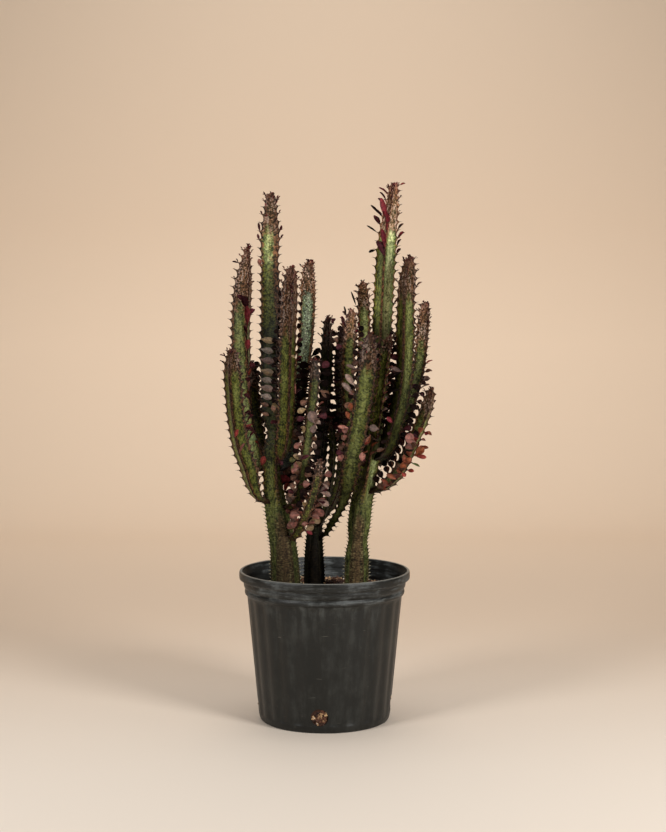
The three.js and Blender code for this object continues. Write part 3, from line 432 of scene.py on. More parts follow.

# Each stem: the points its axis runs through, its wing radius at the foot (trunks), middle and
# tip, the run of its tip's taper, and where wing 0 faces at its foot and tip. `cork_top` is how
# high the old skin of a trunk reaches, `neck` how long the thin neck of an arm is, and `waists` are
# heights with the share by which the stem narrows there, or swells where it is below 0. `pale` is
# how strong the light band of each face is, the first face lying between wings 0 and 1: the band is
# the skin's own marking, and its strength is also set face by face as painted light, higher on the
# faces that catch the light. `blue` is how grey-blue the bands are, `purple` how far the purple
# margins reach (for all wings, or for each of the three), `scaly` how clear the skin's mosaic is,
# `head` how long the purple-brown head is, and `shade` is painted shade: how far the stem's colour
# is darkened where it stands in shadow, with less than 0 for painted light where it is lightened; a
# list gives heights with their values. `leaves` are the runs of teeth that still hold a leaf: wing,
# heights from and to, length, lift, swing, roll, one tooth in how many, and what the leaves look
# like.
STEMS = {
    "left_trunk": dict(
        foot=24, radius=17, tip=8, taper=70, cork_top=400, facing=(-90, -30),
        waists=[(437, 0.3), (694, 0.1), (764, 0.14)],
        pale=(0.3, 0.2, [(640, 0.3), (690, 0.45), (696, 1.0), (760, 0.8)]),
        blue=0.25, purple=([(600, 0.7), (650, 2.3), (790, 2.6)], 0.7, 0.7), scaly=0.25, head=52,
        shade=[(200, 0.58), (290, 0.4), (330, 0.1), (370, 0.15), (400, 0.6), (430, 0.8),
               (470, 0.95), (590, 0.9), (625, 0.3), (685, 0.15), (700, -0.45),
               (735, -0.4), (765, 0.05)],
        path=[(-58, -25, 195), (-61, -25, 262), (-70, -24, 316), (-76, -22, 365), (-77, -21, 405),
              (-75, -20, 442), (-79, -19, 487), (-80, -17, 562), (-80, -14, 637), (-81, -12, 712),
              (-79.5, -10, 797)],
        leaves=[(2, 436, 482, 18, -15, 30, 30, 1, "dark"),
                (2, 724, 762, 12, 50, 0, 0, 1, "dark"), (0, 706, 752, 12, 50, 10, 0, 1, "dark"),
                (1, 540, 760, 15, 40, 10, 0, 3, "dark")]),
    "middle_trunk": dict(
        foot=17.5, radius=11.5, tip=5, taper=60, cork_top=330, facing=(-90, -80),
        pale=(0.0, 0.0, 0.0),
        blue=0.1, purple=0.6, scaly=0.1, head=50, shade=[(200, 1.06), (560, 1.06), (600, 0.8)],
        path=[(-16, 30, 195), (-16, 30, 262), (-12, 29, 329), (-5, 28, 406), (1, 27, 483),
              (4, 26, 559), (5, 25, 614)],
        leaves=[(1, 470, 600, 13, 40, 0, 20, 3, "dark")]),
    "right_trunk": dict(
        foot=19.5, radius=18, tip=8, taper=120, cork_top=400, facing=(-90, -98),
        waists=[(275, 0.18)],
        pale=([(520, 0.7), (590, 1.2), (625, 1.6), (690, 1.5), (706, 1.0)], 0.2,
              [(500, 0.12), (640, 0.35)]),
        blue=0.3, purple=0.6, scaly=0.15, head=70,
        shade=[(200, 0.2), (380, 0.0), (420, 0.4), (590, 0.3), (615, -1.0), (655, -1.0), (700, 0.1),
               (735, -1.3)],
        path=[(48, -20, 195), (50, -20, 270), (55, -18, 327), (64, -15, 372), (70, -12, 408),
              (76, -9, 450), (81, -5, 515), (85, 0, 575), (88, 0, 635), (91, 0, 692), (95, 0, 740),
              (101, 0, 780), (104, 0, 813)],
        leaves=[(0, 700, 770, 31, 66, -52, -60, 3, "red"), (2, 742, 798, 19, 42, 12, 15, 1, "dark"),
                (1, 705, 752, 14, 55, -10, 25, 1, "dark"), (0, 398, 446, 17, 35, 25, 30, 1, "mixed"),
                (1, 480, 680, 15, 35, 0, 0, 4, "dark")]),
    "left_arm_low_outer": dict(
        radius=16.5, tip=7, taper=45, neck=75, facing=(-100, -100),
        pale=([(450, 0.4), (500, 0.6)], 0.2, [(440, 0.75), (500, 0.3)]),
        blue=0.0, purple=1.15, scaly=0.15, head=34, shade=0.38,
        path=[(-74, -23, 332), (-97, -28, 339), (-107.5, -32, 358), (-115, -35, 386),
              (-126, -38, 419), (-133, -40, 461), (-136, -41, 497), (-138, -41, 530),
              (-137, -41, 566)],
        leaves=[(1, 408, 470, 15, 35, -25, 30, 2, "dark"), (2, 528, 556, 11, 10, 0, 0, 1, "dark")]),
    "left_arm_back_outer": dict(
        radius=18.5, tip=3, taper=85, facing=(-65, -65),
        pale=(0.5, 0.3, 0.6),
        blue=0.2, purple=1.05, scaly=0.2, head=90, shade=[(600, 0.0), (640, -0.2), (690, -0.8)],
        path=[(-76, -20, 380), (-96, 8, 392), (-110, 30, 430), (-121, 42, 498), (-126, 46, 575),
              (-124, 46, 635), (-117, 42, 722)],
        leaves=[(1, 470, 690, 14, 40, 0, 20, 4, "dark")]),
    "left_arm_shaded": dict(
        radius=10.5, tip=5, taper=35, facing=(120, 120),
        pale=(0.1, 0.1, 0.1),
        blue=0.1, purple=0.9, scaly=0.1, head=40, shade=0.75,
        path=[(-77, -20, 404), (-90, -16, 414), (-101, -9, 442), (-107, -5, 485), (-109, -4, 545)],
        leaves=[(1, 425, 520, 14, 30, -10, 35, 2, "dark")]),
    "left_arm_front": dict(
        radius=15.5, tip=7.5, taper=50, facing=(-75, -75),
        pale=(0.3, 0.3, [(430, 0.15), (520, 0.55), (600, 0.3)]),
        blue=0.0, purple=1.0, scaly=0.1, head=95, shade=[(560, 0.45), (610, 0.3), (650, 0.2)],
        path=[(-77, -21, 392), (-64, -38, 406), (-57, -50, 442), (-54, -54, 517), (-52, -50, 600),
              (-48, -44, 687)],
        leaves=[(1, 470, 600, 13, 35, -20, 20, 2, "dark"), (0, 470, 540, 12, 40, 20, 40, 3, "dark")]),
    "left_arm_back": dict(
        radius=15.5, tip=7, taper=50, facing=(-60, -60),
        pale=(0.5, 0.3, [(500, 0.4), (560, 0.95)]),
        blue=0.9, purple=0.75, scaly=0.75, head=52,
        shade=[(430, 0.75), (520, -0.6), (570, -2.3), (645, -2.5), (665, -4.0)],
        path=[(-76, -21, 378), (-55, 7, 388), (-45, 24, 428), (-34, 33, 514), (-26, 36, 575),
              (-22.5, 36, 635), (-23, 33, 699)],
        leaves=[(1, 450, 650, 14, 40, 0, 20, 3, "dark")]),
    "left_arm_slim": dict(
        radius=10.5, tip=5.5, taper=30, facing=(-120, -120),
        pale=([(340, 0.5), (420, 0.8)], 0.3, 0.5),
        blue=0.0, purple=1.1, scaly=0.15, head=30, shade=[(480, 0.75), (520, 0.82)],
        path=[(-71, -24, 322), (-44, -42, 337), (-34, -50, 375), (-27, -51, 428), (-22, -50, 472),
              (-17, -49, 508), (-16, -48, 552)],
        leaves=[(0, 335, 446, 16, 45, 15, 15, 1, "pale"), (1, 448, 484, 14, 45, -40, 20, 1, "pale")]),
    "left_arm_short": dict(
        radius=8.8, tip=5, taper=20, facing=(90, 90),
        pale=(0.1, 0.3, 0.1),
        blue=0.0, purple=1.55, scaly=0.85, head=24, shade=-0.05,
        path=[(-63, -25, 280), (-46, -44, 285), (-35, -57, 303), (-24, -66, 328), (-15, -70, 354),
              (-9, -71, 381), (-7, -71, 404)],
        leaves=[(1, 296, 350, 14, 40, 30, 30, 1, "pale"), (2, 305, 366, 15, 30, -15, 40, 1, "pale")]),
    "middle_arm_slim": dict(
        radius=6.8, tip=3, taper=30, facing=(-90, -90),
        pale=(0.1, 0.1, 0.1),
        blue=0.1, purple=0.3, scaly=0.1, head=20, shade=0.7,
        path=[(-15, 29, 286), (-3, 14, 302), (5, 0, 336), (11, -10, 380), (12, -14, 425),
              (8, -15, 462)],
        leaves=[]),
    "middle_arm_front": dict(
        radius=16.5, tip=7, taper=45, neck=170, facing=(90, 90),
        waists=[(322, 0.3), (350, 0.2)],
        pale=(0.2, 0.62, 0.2),
        blue=0.05, purple=0.75, scaly=0.15, head=50,
        shade=[(290, 1.0), (350, 0.85), (400, 0.7), (480, 0.55), (560, 0.6), (580, 0.72)],
        path=[(-16, 30, 268), (2, 20, 282), (9, 8, 296), (17.5, -6, 311), (26.5, -20, 331),
              (34, -36, 360), (42, -54, 405), (52, -60, 458), (61, -64, 517), (68, -64, 590)],
        leaves=[(1, 402, 560, 15, 38, 15, 35, 2, "dark"), (2, 402, 432, 12, 40, -20, 30, 1, "rusty")]),
    "middle_arm_right": dict(
        radius=10.5, tip=5, taper=40, facing=(-90, -90),
        pale=(0.2, 0.2, 0.2),
        blue=0.1, purple=0.9, scaly=0.15, head=55, shade=0.55,
        path=[(-14, 30, 302), (5, 36, 314), (18, 38, 338), (26, 37, 374), (29, 36, 423),
              (25, 36, 484), (24, 36, 545), (31, 34, 602)],
        leaves=[(2, 450, 580, 11, 40, 10, 20, 2, "dark")]),
    "right_arm_front": dict(
        radius=16, tip=6, taper=45, facing=(-100, -100), waists=[(590, -0.1)],
        pale=([(430, 0.4), (520, 0.75), (600, 0.65), (660, 0.95)], 0.2, 0.15),
        blue=0.1, purple=0.85, scaly=0.15, head=60,
        shade=[(430, 0.92), (500, 0.88), (550, 0.48), (640, 0.35), (700, 0.0)],
        path=[(72, -12, 396), (90, -30, 412), (101, -40, 446), (110, -42, 480), (116, -41, 516),
              (119, -38, 554), (119.5, -36, 606), (121, -34, 650), (127, -32, 703)],
        leaves=[(2, 486, 552, 14, 35, 20, 30, 1, "dark"), (1, 500, 680, 13, 40, 0, 0, 3, "dark")]),
    "right_arm_outer": dict(
        radius=12.5, tip=7, taper=40, facing=(-60, -60),
        pale=(0.5, 0.3, 0.65),
        blue=0.15, purple=1.0, scaly=0.6, head=60, shade=[(430, 0.5), (540, 0.1), (575, -1.2)],
        path=[(69, -13, 388), (92, 3, 396), (110, 17, 424), (123, 25, 454), (134, 28, 484),
              (142, 29, 514), (148, 28, 546), (152, 26, 596), (154, 24, 635)],
        leaves=[(0, 498, 552, 15, 30, 25, 20, 1, "mixed"), (2, 470, 610, 12, 40, 0, 20, 2, "dark")]),
    "right_arm_low_outer": dict(
        radius=12, tip=5.5, taper=35, facing=(-80, -80),
        pale=(0.9, 0.3, 0.45),
        blue=0.1, purple=[(400, 1.8), (470, 0.9)], scaly=0.4, head=40,
        shade=[(352, 0.5), (420, 0.4), (470, 0.1)],
        path=[(61, -17, 346), (84, -21, 354), (97, -23, 363), (109, -24, 375), (116, -25, 387),
              (122, -26, 399), (130, -26, 416), (135, -26, 429), (142, -26, 444), (148, -26, 459),
              (154, -26, 476), (158, -26, 492), (160, -26, 507)],
        leaves=[(0, 352, 442, 16, 40, -20, 20, 1, "rusty"),
                (1, 404, 452, 14, 20, -10, 30, 1, "rusty"),
                (2, 365, 430, 13, 45, 0, 20, 1, "rusty")]),
    "right_arm_back": dict(
        radius=11.5, tip=6.5, taper=35, facing=(90, 90),
        pale=(0.3, 0.9, 0.3),
        blue=0.2, purple=1.0, scaly=0.2, head=40, shade=[(480, 0.6), (540, 0.0), (570, -1.2)],
        path=[(70, -12, 396), (63, 16, 408), (58, 36, 448), (59, 46, 529), (61, 47, 580),
              (60, 46, 620), (58, 43, 667)],
        leaves=[(0, 470, 640, 14, 35, 0, 0, 3, "dark")]),
    "right_arm_left": dict(
        radius=11.5, tip=6, taper=40, facing=(90, 90),
        pale=(0.3, [(560, 0.4), (590, 0.9)], 0.3),
        blue=0.1, purple=1.0, scaly=0.25, head=45,
        shade=[(430, 0.5), (520, 0.2), (570, 0.0), (610, -0.5)],
        path=[(68, -13, 386), (50, -22, 400), (41, -24, 436), (37, -25, 486), (35, -26, 523),
              (37, -26, 561), (41, -24, 625)],
        leaves=[(1, 590, 618, 11, 40, 0, 20, 1, "dark")]),
    "right_arm_short": dict(
        radius=9, tip=5.5, taper=25, facing=(-70, -70),
        pale=(0.3, 0.2, 0.5),
        blue=0.0, purple=0.7, scaly=0.25, head=26, shade=0.15,
        path=[(75, -10, 420), (77, -32, 438), (82, -43, 480), (89, -44, 532), (93, -44, 561),
              (97, -44, 586)],
        leaves=[(0, 470, 540, 13, 40, 20, 30, 1, "mixed")]),
}


def mix(a, b, t):
    """The value a share t of the way from a to b."""
    return a + (b - a) * t


def unit(v):
    """A vector, or each of many, at length 1."""
    return v / np.linalg.norm(v, axis=-1, keepdims=True)


class Axis:
    """The line a stem grows along, and its wings at any distance from its foot."""

    def __init__(self, stem):
        self.stem = stem
        self.trunk = "foot" in stem
        points = np.array(stem["path"], float)
        if self.trunk:
            points = np.vstack([points[0] - (0, 0, ROOT_DEPTH), points])
        self.ends = np.vstack([2 * points[0] - points[1], points, 2 * points[-1] - points[-2]])
        self.spans = len(points) - 1
        self.shares = np.linspace(0, 1, AXIS_SAMPLES)
        steps = np.linalg.norm(np.diff(self.curve(self.shares)[0], axis=0), axis=1)
        self.reached = np.concatenate([[0], np.cumsum(steps)])
        self.length = self.reached[-1]
        lean = points[-1] - points[0]
        self.side = np.array([1.0, 0, 0]) if self.trunk else unit(np.array([-lean[1], lean[0], 0]))
        self.side_angle = math.atan2(self.side[1], self.side[0])

    def curve(self, share):
        """A Catmull-Rom curve through the points, and its slope."""
        t = np.clip(share, 0, 1) * self.spans
        i = np.minimum(t.astype(int), self.spans - 1)
        w = (t - i)[:, None]
        p0, p1, p2, p3 = (self.ends[i + k] for k in range(4))
        m1, m2 = (p2 - p0) / 2, (p3 - p1) / 2
        c2, c3 = 3 * (p2 - p1) - 2 * m1 - m2, 2 * (p1 - p2) + m1 + m2
        return p1 + m1 * w + c2 * w ** 2 + c3 * w ** 3, m1 + 2 * c2 * w + 3 * c3 * w ** 2

    def at(self, s):
        """Place, direction, across and up at distances s from the foot."""
        place, slope = self.curve(np.interp(s, self.reached, self.shares))
        along = unit(slope)
        across = unit(self.side - along * (along @ self.side)[:, None])
        return place, along, across, np.cross(along, across)

    def wing(self, s, k):
        """The direction that wing k stands out in; k + 0.5 is the valley after it."""
        _, _, across, up = self.at(s)
        start, end = self.stem["facing"]
        angle = np.radians(mix(start, end, smooth(s / self.length)) + 120 * k) - self.side_angle
        return across * np.cos(angle)[:, None] + up * np.sin(angle)[:, None]

    def cork(self, z):
        """How corky the skin is at heights z: 1 where a trunk leaves the mix, 0 on young skin."""
        top = self.stem.get("cork_top", 0)
        return 1 - smooth((z - SOIL_TOP) / (top - SOIL_TOP)) if self.trunk else np.zeros_like(z)

    def radius(self, s):
        """How far the wings reach from the axis at s, between their teeth."""
        z = self.at(s)[0][:, 2]
        stem = self.stem
        if self.trunk:
            r = mix(stem["radius"], stem["foot"], self.cork(z))
            r = mix(stem["foot"] * ROOT_SHARE, r, smooth((z - SOIL_TOP + ROOT_RUN) / ROOT_RUN))
        else:
            r = mix(NECK_RADIUS, stem["radius"], smooth(s / stem.get("neck", NECK_RUN)))
        for height, depth in stem.get("waists", []):
            r = r * (1 - depth * np.exp(-((z - height) / WAIST_SPREAD) ** 2))
        left = np.clip((self.length - s) / stem["taper"], 0, 1)
        return mix(stem["tip"], r, np.sin(left * math.pi / 2))

    def teeth(self, k):
        """Where the teeth of wing k stand: closer together on cork and towards the tip."""
        s = (ROOT_DEPTH + 4 if self.trunk else BARE_NECK) + k / 3 * TOOTH_PITCH
        places = []
        while s < self.length - 3:
            places.append(s)
            z = self.at(np.array([s]))[0][:, 2]
            pitch = mix(TOOTH_PITCH, TRUNK_PITCH, float(self.cork(z)[0]))
            s += pitch * mix(CROWDED_SHARE, 1, float(smooth((self.length - s) / CROWDED_RUN)))
        return np.array(places)


def shown_teeth(axis, teeth):
    """The teeth with a smaller one between each two, where a trunk is old."""
    between = (teeth[:-1] + teeth[1:]) / 2
    old = axis.cork(axis.at(between)[0][:, 2]) > OLD_TEETH
    return np.sort(np.concatenate([teeth, between[old]]))


def margin(axis, s, teeth):
    """How far a toothed margin stands out at s, and how near s is to a tooth's point."""
    size = mix(TIP_TOOTH_OUT, TOOTH_OUT, smooth((axis.length - s) / HEAD_RUN))
    notch = mix(NOTCH_IN, OLD_NOTCH_IN, smooth(axis.cork(axis.at(s)[0][:, 2]) * 4))
    before = np.clip(np.searchsorted(teeth, s, "right") - 1, 0, len(teeth) - 2)
    u = (s - teeth[before]) / (teeth[before + 1] - teeth[before])
    near = np.where(u < TOOTH_BACK, np.clip(1 - u / TOOTH_BACK, 0, 1) ** 1.5,
                    np.clip((u - TOOTH_BACK) / (1 - TOOTH_BACK), 0, 1) ** 2.6)
    near = np.where(u < 0, np.clip(1 + u / 0.6, 0, 1) ** 2.6, near)
    near = np.where(u > 1, np.clip(1 - (u - 1) / 0.35, 0, 1) ** 1.5, near)
    started = smooth((s - teeth[0] + 14) / 10)
    return mix(-notch, size, near) * started, near * started


def at_heights(value, heights):
    """A number for each height: one for the whole stem, or read from pairs of height and number."""
    if isinstance(value, list):
        return np.interp(heights, *zip(*value))
    return np.full(len(heights), value)


def mark_skin(piece, stem, seed, run, edge, near):
    """Give a skin the marks that its material reads, from its rings of points.

    run holds each ring's distance from the foot, height, distance to the tip, radius, cork and
    neck; edge and near hold how close each point is to its wing's margin and to a tooth.
    """
    s, height, left, r, cork, neck = run
    rows, columns = edge.shape
    per_wing = columns // 3
    per_ring = {
        "head": 0.8 * smooth(1 - left / (0.4 * stem["head"])),
        "young": smooth((1.35 * stem["head"] - left) / (0.7 * stem["head"])),
        "cork": cork,
        "neck": neck,
        "scaly": np.full(rows, stem["scaly"]),
    }
    values = {key: np.repeat(v[:, None], columns, 1) for key, v in per_ring.items()}
    values["edge"] = edge
    values["tooth"] = near * smooth((edge - 0.72) / 0.25)
    values["worn"] = np.zeros((rows, columns))
    values["worn"][:, :per_wing] = smooth((cork[:, None] - WORN_CORK) * 3)
    for key, v in values.items():
        layer = piece.data.attributes.new(key, "FLOAT", "POINT")
        ends = [v[0].mean(), v[-1].mean()]
        layer.data.foreach_set("value", np.concatenate([v.ravel(), ends]))
    # Where each point lies on its face: across from the middle, along the stem, and a seed.
    side = np.array([-1 if j % per_wing < per_wing // 2 else 1 for j in range(columns)])
    grid = np.stack([edge * r[:, None] * side, np.repeat(s[:, None], columns, 1),
                     np.full(edge.shape, seed * 37.0)], 2).reshape(-1, 3)
    layer = piece.data.attributes.new("face_place", "FLOAT_VECTOR", "POINT")
    layer.data.foreach_set("vector", (np.vstack([grid, grid[:1], grid[-1:]]) * MM).ravel())
    bands = [at_heights(value, height) for value in stem["pale"]]
    pale = np.stack([bands[(j // per_wing - (j % per_wing < per_wing // 2)) % 3]
                     for j in range(columns)], 1)
    browns = stem["purple"] if isinstance(stem["purple"], tuple) else (stem["purple"],) * 3
    browns = [at_heights(value, height) for value in browns]
    brown = np.stack([browns[j // per_wing] for j in range(columns)], 1)
    # looks holds, for each point, the strength of its face's band (partly painted light), how
    # grey-blue it is, how purple its margin is, and the stem's painted shade.
    looks = np.stack([pale, np.full(pale.shape, stem["blue"]), brown,
                      np.repeat(at_heights(stem["shade"], height)[:, None], columns, 1)], 2)
    looks = looks.reshape(-1, 4)
    layer = piece.data.attributes.new("looks", "FLOAT_COLOR", "POINT")
    layer.data.foreach_set("color", np.vstack([looks, looks[:1], looks[-1:]]).ravel())


def stem_skin(name, seed):
    """One stem as a closed skin: three toothed wings and the hollow faces between them."""
    axis = Axis(STEMS[name])
    teeth = [shown_teeth(axis, axis.teeth(k)) for k in range(3)]
    s = np.arange(0, axis.length - 1.5, RING_STEP)
    if axis.trunk:
        s = s[(s > ROOT_DEPTH - 16) | (s % 9 < RING_STEP)]
    points = np.concatenate([t + d for t in teeth for d in (-0.5, 0.0, 0.7)])
    s = np.sort(np.concatenate([s, points[points < axis.length - 1.5]]))
    s = s[np.concatenate([[True], np.diff(s) > 0.25])]
    place, along, _, _ = axis.at(s)
    r = axis.radius(s)
    cork = axis.cork(place[:, 2])
    valley = mix(VALLEY_SHARE, CORK_VALLEY_SHARE, cork)
    if axis.trunk:
        valley = mix(ROOT_VALLEY_SHARE, valley, smooth((place[:, 2] - SOIL_TOP + 6) / ROOT_RUN))
    head = np.sqrt(np.clip((axis.length + 1 - s) / 7, 0.05, 1))

    rings, edge = [], []
    half_turn = [axis.wing(s, 0.5 * h) for h in range(6)]
    for k in range(3):
        out, reach = margin(axis, s, teeth[k])
        worn = smooth(cork * 3) if k == 0 else 0 * s  # an old trunk's front wing is rubbed round
        out, reach = mix(out, -0.06 * r, worn), reach * (1 - 0.95 * worn)
        wing = half_turn[2 * k]
        sideways = unit(np.cross(along, wing))
        base = (r * head)[:, None]
        tip = (np.maximum(r * head + out, 1.0))[:, None]
        lean = (0.9 * reach)[:, None]
        half = (WING_HALF_EDGE * mix(1.0, 0.45, reach) * np.minimum(1, r / 9))[:, None]
        half = mix(half, half * 2.6, cork[:, None])
        for sign, valley_way in ((-1, half_turn[(2 * k - 1) % 6]), (1, half_turn[(2 * k + 1) % 6])):
            deep = valley_way * (r * head * valley)[:, None]
            first = wing * (tip - 0.45) + sideways * half * sign + along * lean
            fat = mix(mix(0.127, 0.26, cork), 0.52, worn)[:, None]
            deep_in = mix(0.62, 0.90, worn)[:, None]
            control = wing * base * deep_in + sideways * base * fat * sign
            row = [first] + [first * (1 - t) ** 2 + control * 2 * t * (1 - t) + deep * t ** 2
                             for t in WING_STATIONS]
            side = [(i + 0.4) / 5 for i in range(5)]
            if sign < 0:
                row, side = row[::-1], side[::-1]
                rings.append(deep)
                edge.append(np.zeros(len(s)))
            rings += row
            edge += [np.full(len(s), 1 - v) for v in side]
            if sign < 0:
                rings.append(wing * tip + along * lean)
                edge.append(np.ones(len(s)))
    columns = len(rings)
    ring = np.stack(rings, 1) + place[:, None]
    rows = len(s)
    vertices = np.vstack([ring.reshape(-1, 3), place[:1], place[-1:] + along[-1:] * TIP_POINT])
    vertices = np.clip(vertices, np.array(cad_box[0]) / MM, np.array(cad_box[1]) / MM)
    faces = []
    for i in range(rows - 1):
        a, b = i * columns, (i + 1) * columns
        for j in range(columns):
            k = (j + 1) % columns
            faces.append((a + j, a + k, b + k, b + j))
    low, high = rows * columns, rows * columns + 1
    for j in range(columns):
        k = (j + 1) % columns
        faces.append((low, k, j))
        faces.append((high, (rows - 1) * columns + j, (rows - 1) * columns + k))
    piece = new_piece(name + "_skin", vertices, faces, skin_material, sharp_angle=50)

    per_wing = columns // 3
    near = np.zeros((rows, columns))
    for k in range(3):
        near[:, k * per_wing:(k + 1) * per_wing] = margin(axis, s, teeth[k])[1][:, None]
    neck = np.zeros(rows) if axis.trunk else 1 - smooth((s - 10) / 26)
    run = (s, place[:, 2], axis.length - s, r, cork, neck)
    mark_skin(piece, STEMS[name], seed, run, np.stack(edge, 1), near)
    return piece, axis, [axis.teeth(k) for k in range(3)], teeth, (s, place, along, ring)


# Succulent skin: waxy and satin, deep green. Each face has a light feathered band up its middle,
# its margins and the young heads are mottled purple-brown, its teeth are almost black, and its
# oldest parts are velvety olive with brown cork along the worn wings. Each stem's colour is also
# darkened as painted shade where it stands in shadow, and lightened as painted light where it is lit.
skin_material, t = new_material("spurge_skin_waxy_green")
place = add_node(t, "ShaderNodeTexCoord").outputs["Object"]
on_face = add_node(t, "ShaderNodeAttribute", attribute_name="face_place").outputs["Vector"]
looks = add_node(t, "ShaderNodeAttribute", attribute_name="looks")
kinds = add_node(t, "ShaderNodeSeparateColor", {"Color": looks.outputs["Color"]})
pale, blue, purple = (kinds.outputs[k] for k in ("Red", "Green", "Blue"))
painted_shade = looks.outputs["Alpha"]
edge, tooth, head, young, cork, neck, scaly, worn = (
    add_node(t, "ShaderNodeAttribute", attribute_name=name).outputs["Fac"]
    for name in ("edge", "tooth", "head", "young", "cork", "neck", "scaly", "worn"))
apart = add_node(t, "ShaderNodeSeparateXYZ", {"Vector": on_face})
rise = add_node(t, "ShaderNodeMath", {0: apart.outputs["X"]}, operation="ABSOLUTE")
rise = add_node(t, "ShaderNodeMath", {0: rise, 1: -0.75, 2: apart.outputs["Y"]},
                operation="MULTIPLY_ADD")
feather = add_node(t, "ShaderNodeCombineXYZ", {"X": apart.outputs["X"], "Y": rise,
                                               "Z": apart.outputs["Z"]})
# Barbs about 3 mm thick and 10 mm long that rise outwards from the middle of a face.
feather = add_node(t, "ShaderNodeMapping", {"Vector": feather, "Scale": (100.0, 340.0, 100.0)})
barbs = add_node(t, "ShaderNodeTexNoise", {"Vector": feather, "Scale": 1.0, "Detail": 3.0,
                                           "Roughness": 0.6})
# Lines that run up the stem, 3 mm apart and 25 mm long.
lines = add_node(t, "ShaderNodeMapping", {"Vector": on_face, "Scale": (340.0, 40.0, 100.0)})
lines = add_node(t, "ShaderNodeTexNoise", {"Vector": lines, "Scale": 1.0, "Detail": 2.0})
# Mottling in spots of about 6 by 9 mm, and speckles of 3 mm.
mottle = add_node(t, "ShaderNodeMapping", {"Vector": on_face, "Scale": (165.0, 110.0, 100.0)})
mottle = add_node(t, "ShaderNodeTexNoise", {"Vector": mottle, "Scale": 1.0, "Detail": 4.0,
                                            "Roughness": 0.72})
speckle = add_node(t, "ShaderNodeTexNoise", {"Vector": place, "Scale": 330.0, "Detail": 2.0,
                                             "Roughness": 0.6})
# Scales of about 3.5 mm with dark seams: the skin's own mosaic, strong on some stems only.
seams = add_node(t, "ShaderNodeTexVoronoi", {"Vector": place, "Scale": 290.0, "Randomness": 1.0},
                 feature="DISTANCE_TO_EDGE")
seams = add_node(t, "ShaderNodeMapRange", {"Value": seams, "From Min": 0.02, "From Max": 0.30,
                                           "To Min": 1.0, "To Max": 0.0})
green = add_node(t, "ShaderNodeMath", {0: speckle, 1: mottle}, operation="ADD")
green = add_node(t, "ShaderNodeMapRange", {"Value": green, "From Min": 0.86, "From Max": 1.16})
green = add_node(t, "ShaderNodeMix", {"Factor": green, "A": linear("#131103"),
                                      "B": linear("#58581a")}, data_type="RGBA")
# The band: the skin's own marking, broken up by barbs and lines. Through `pale` it is also painted
# light: widest and brightest, with the strongest cream middle, on the faces that get the most light.
lit = add_node(t, "ShaderNodeMix", {"Factor": 0.55, "A": barbs, "B": lines}, data_type="FLOAT")
lit = add_node(t, "ShaderNodeMapRange", {"Value": lit, "From Min": 0.38, "From Max": 0.58},
               interpolation_type="SMOOTHSTEP")
wide = add_node(t, "ShaderNodeMapRange", {"Value": pale, "To Min": 0.40, "To Max": 0.95})
band = add_node(t, "ShaderNodeMapRange", {"Value": edge, "From Min": wide, "From Max": 0.12},
                interpolation_type="SMOOTHSTEP")
some = add_node(t, "ShaderNodeMapRange", {"Value": lit, "To Min": 0.30, "To Max": 1.0})
band = add_node(t, "ShaderNodeMath", {0: band, 1: some}, operation="MULTIPLY")
band = add_node(t, "ShaderNodeMath", {0: band, 1: pale}, operation="MULTIPLY")
leafy = add_node(t, "ShaderNodeMix", {"Factor": blue, "A": linear("#737d39"),
                                      "B": linear("#788f78")}, data_type="RGBA")
colour = add_node(t, "ShaderNodeMix", {"Factor": band, "A": green, "B": leafy}, data_type="RGBA")
core = add_node(t, "ShaderNodeMapRange", {"Value": edge, "From Min": 0.42, "From Max": 0.04},
                interpolation_type="SMOOTHSTEP")
core = add_node(t, "ShaderNodeMath", {0: core, 1: lit}, operation="MULTIPLY")
core = add_node(t, "ShaderNodeMath", {0: core, 1: pale}, operation="MULTIPLY")
core = add_node(t, "ShaderNodeMath", {0: core, 1: pale}, operation="MULTIPLY")
core = add_node(t, "ShaderNodeMath", {0: core, 1: 0.75}, operation="MULTIPLY")
cream = add_node(t, "ShaderNodeMix", {"Factor": blue, "A": linear("#aaaa68"),
                                      "B": linear("#a9b29c")}, data_type="RGBA")
colour = add_node(t, "ShaderNodeMix", {"Factor": core, "A": colour, "B": cream},
                  data_type="RGBA")
# Old skin: velvety olive with fine hairlines up the stem, and brown cork on the worn wings.
hairs = add_node(t, "ShaderNodeMapping", {"Vector": on_face, "Scale": (950.0, 75.0, 100.0)})
hairs = add_node(t, "ShaderNodeTexNoise", {"Vector": hairs, "Scale": 1.0, "Detail": 3.0})
olive = add_node(t, "ShaderNodeMix", {"Factor": 0.55, "A": hairs, "B": mottle},
                 data_type="FLOAT")
olive = add_node(t, "ShaderNodeMapRange", {"Value": olive, "From Min": 0.38, "From Max": 0.60})
velvet = add_node(t, "ShaderNodeMix", {"Factor": blue, "A": linear("#555818"),
                                       "B": linear("#64704e")}, data_type="RGBA")
olive = add_node(t, "ShaderNodeMix", {"Factor": olive, "A": linear("#12150a"), "B": velvet},
                 data_type="RGBA")
olden = add_node(t, "ShaderNodeMapRange", {"Value": cork, "To Max": 1.0, "From Max": 0.35},
                 interpolation_type="SMOOTHSTEP")
colour = add_node(t, "ShaderNodeMix", {"Factor": olden, "A": colour, "B": olive},
                  data_type="RGBA")
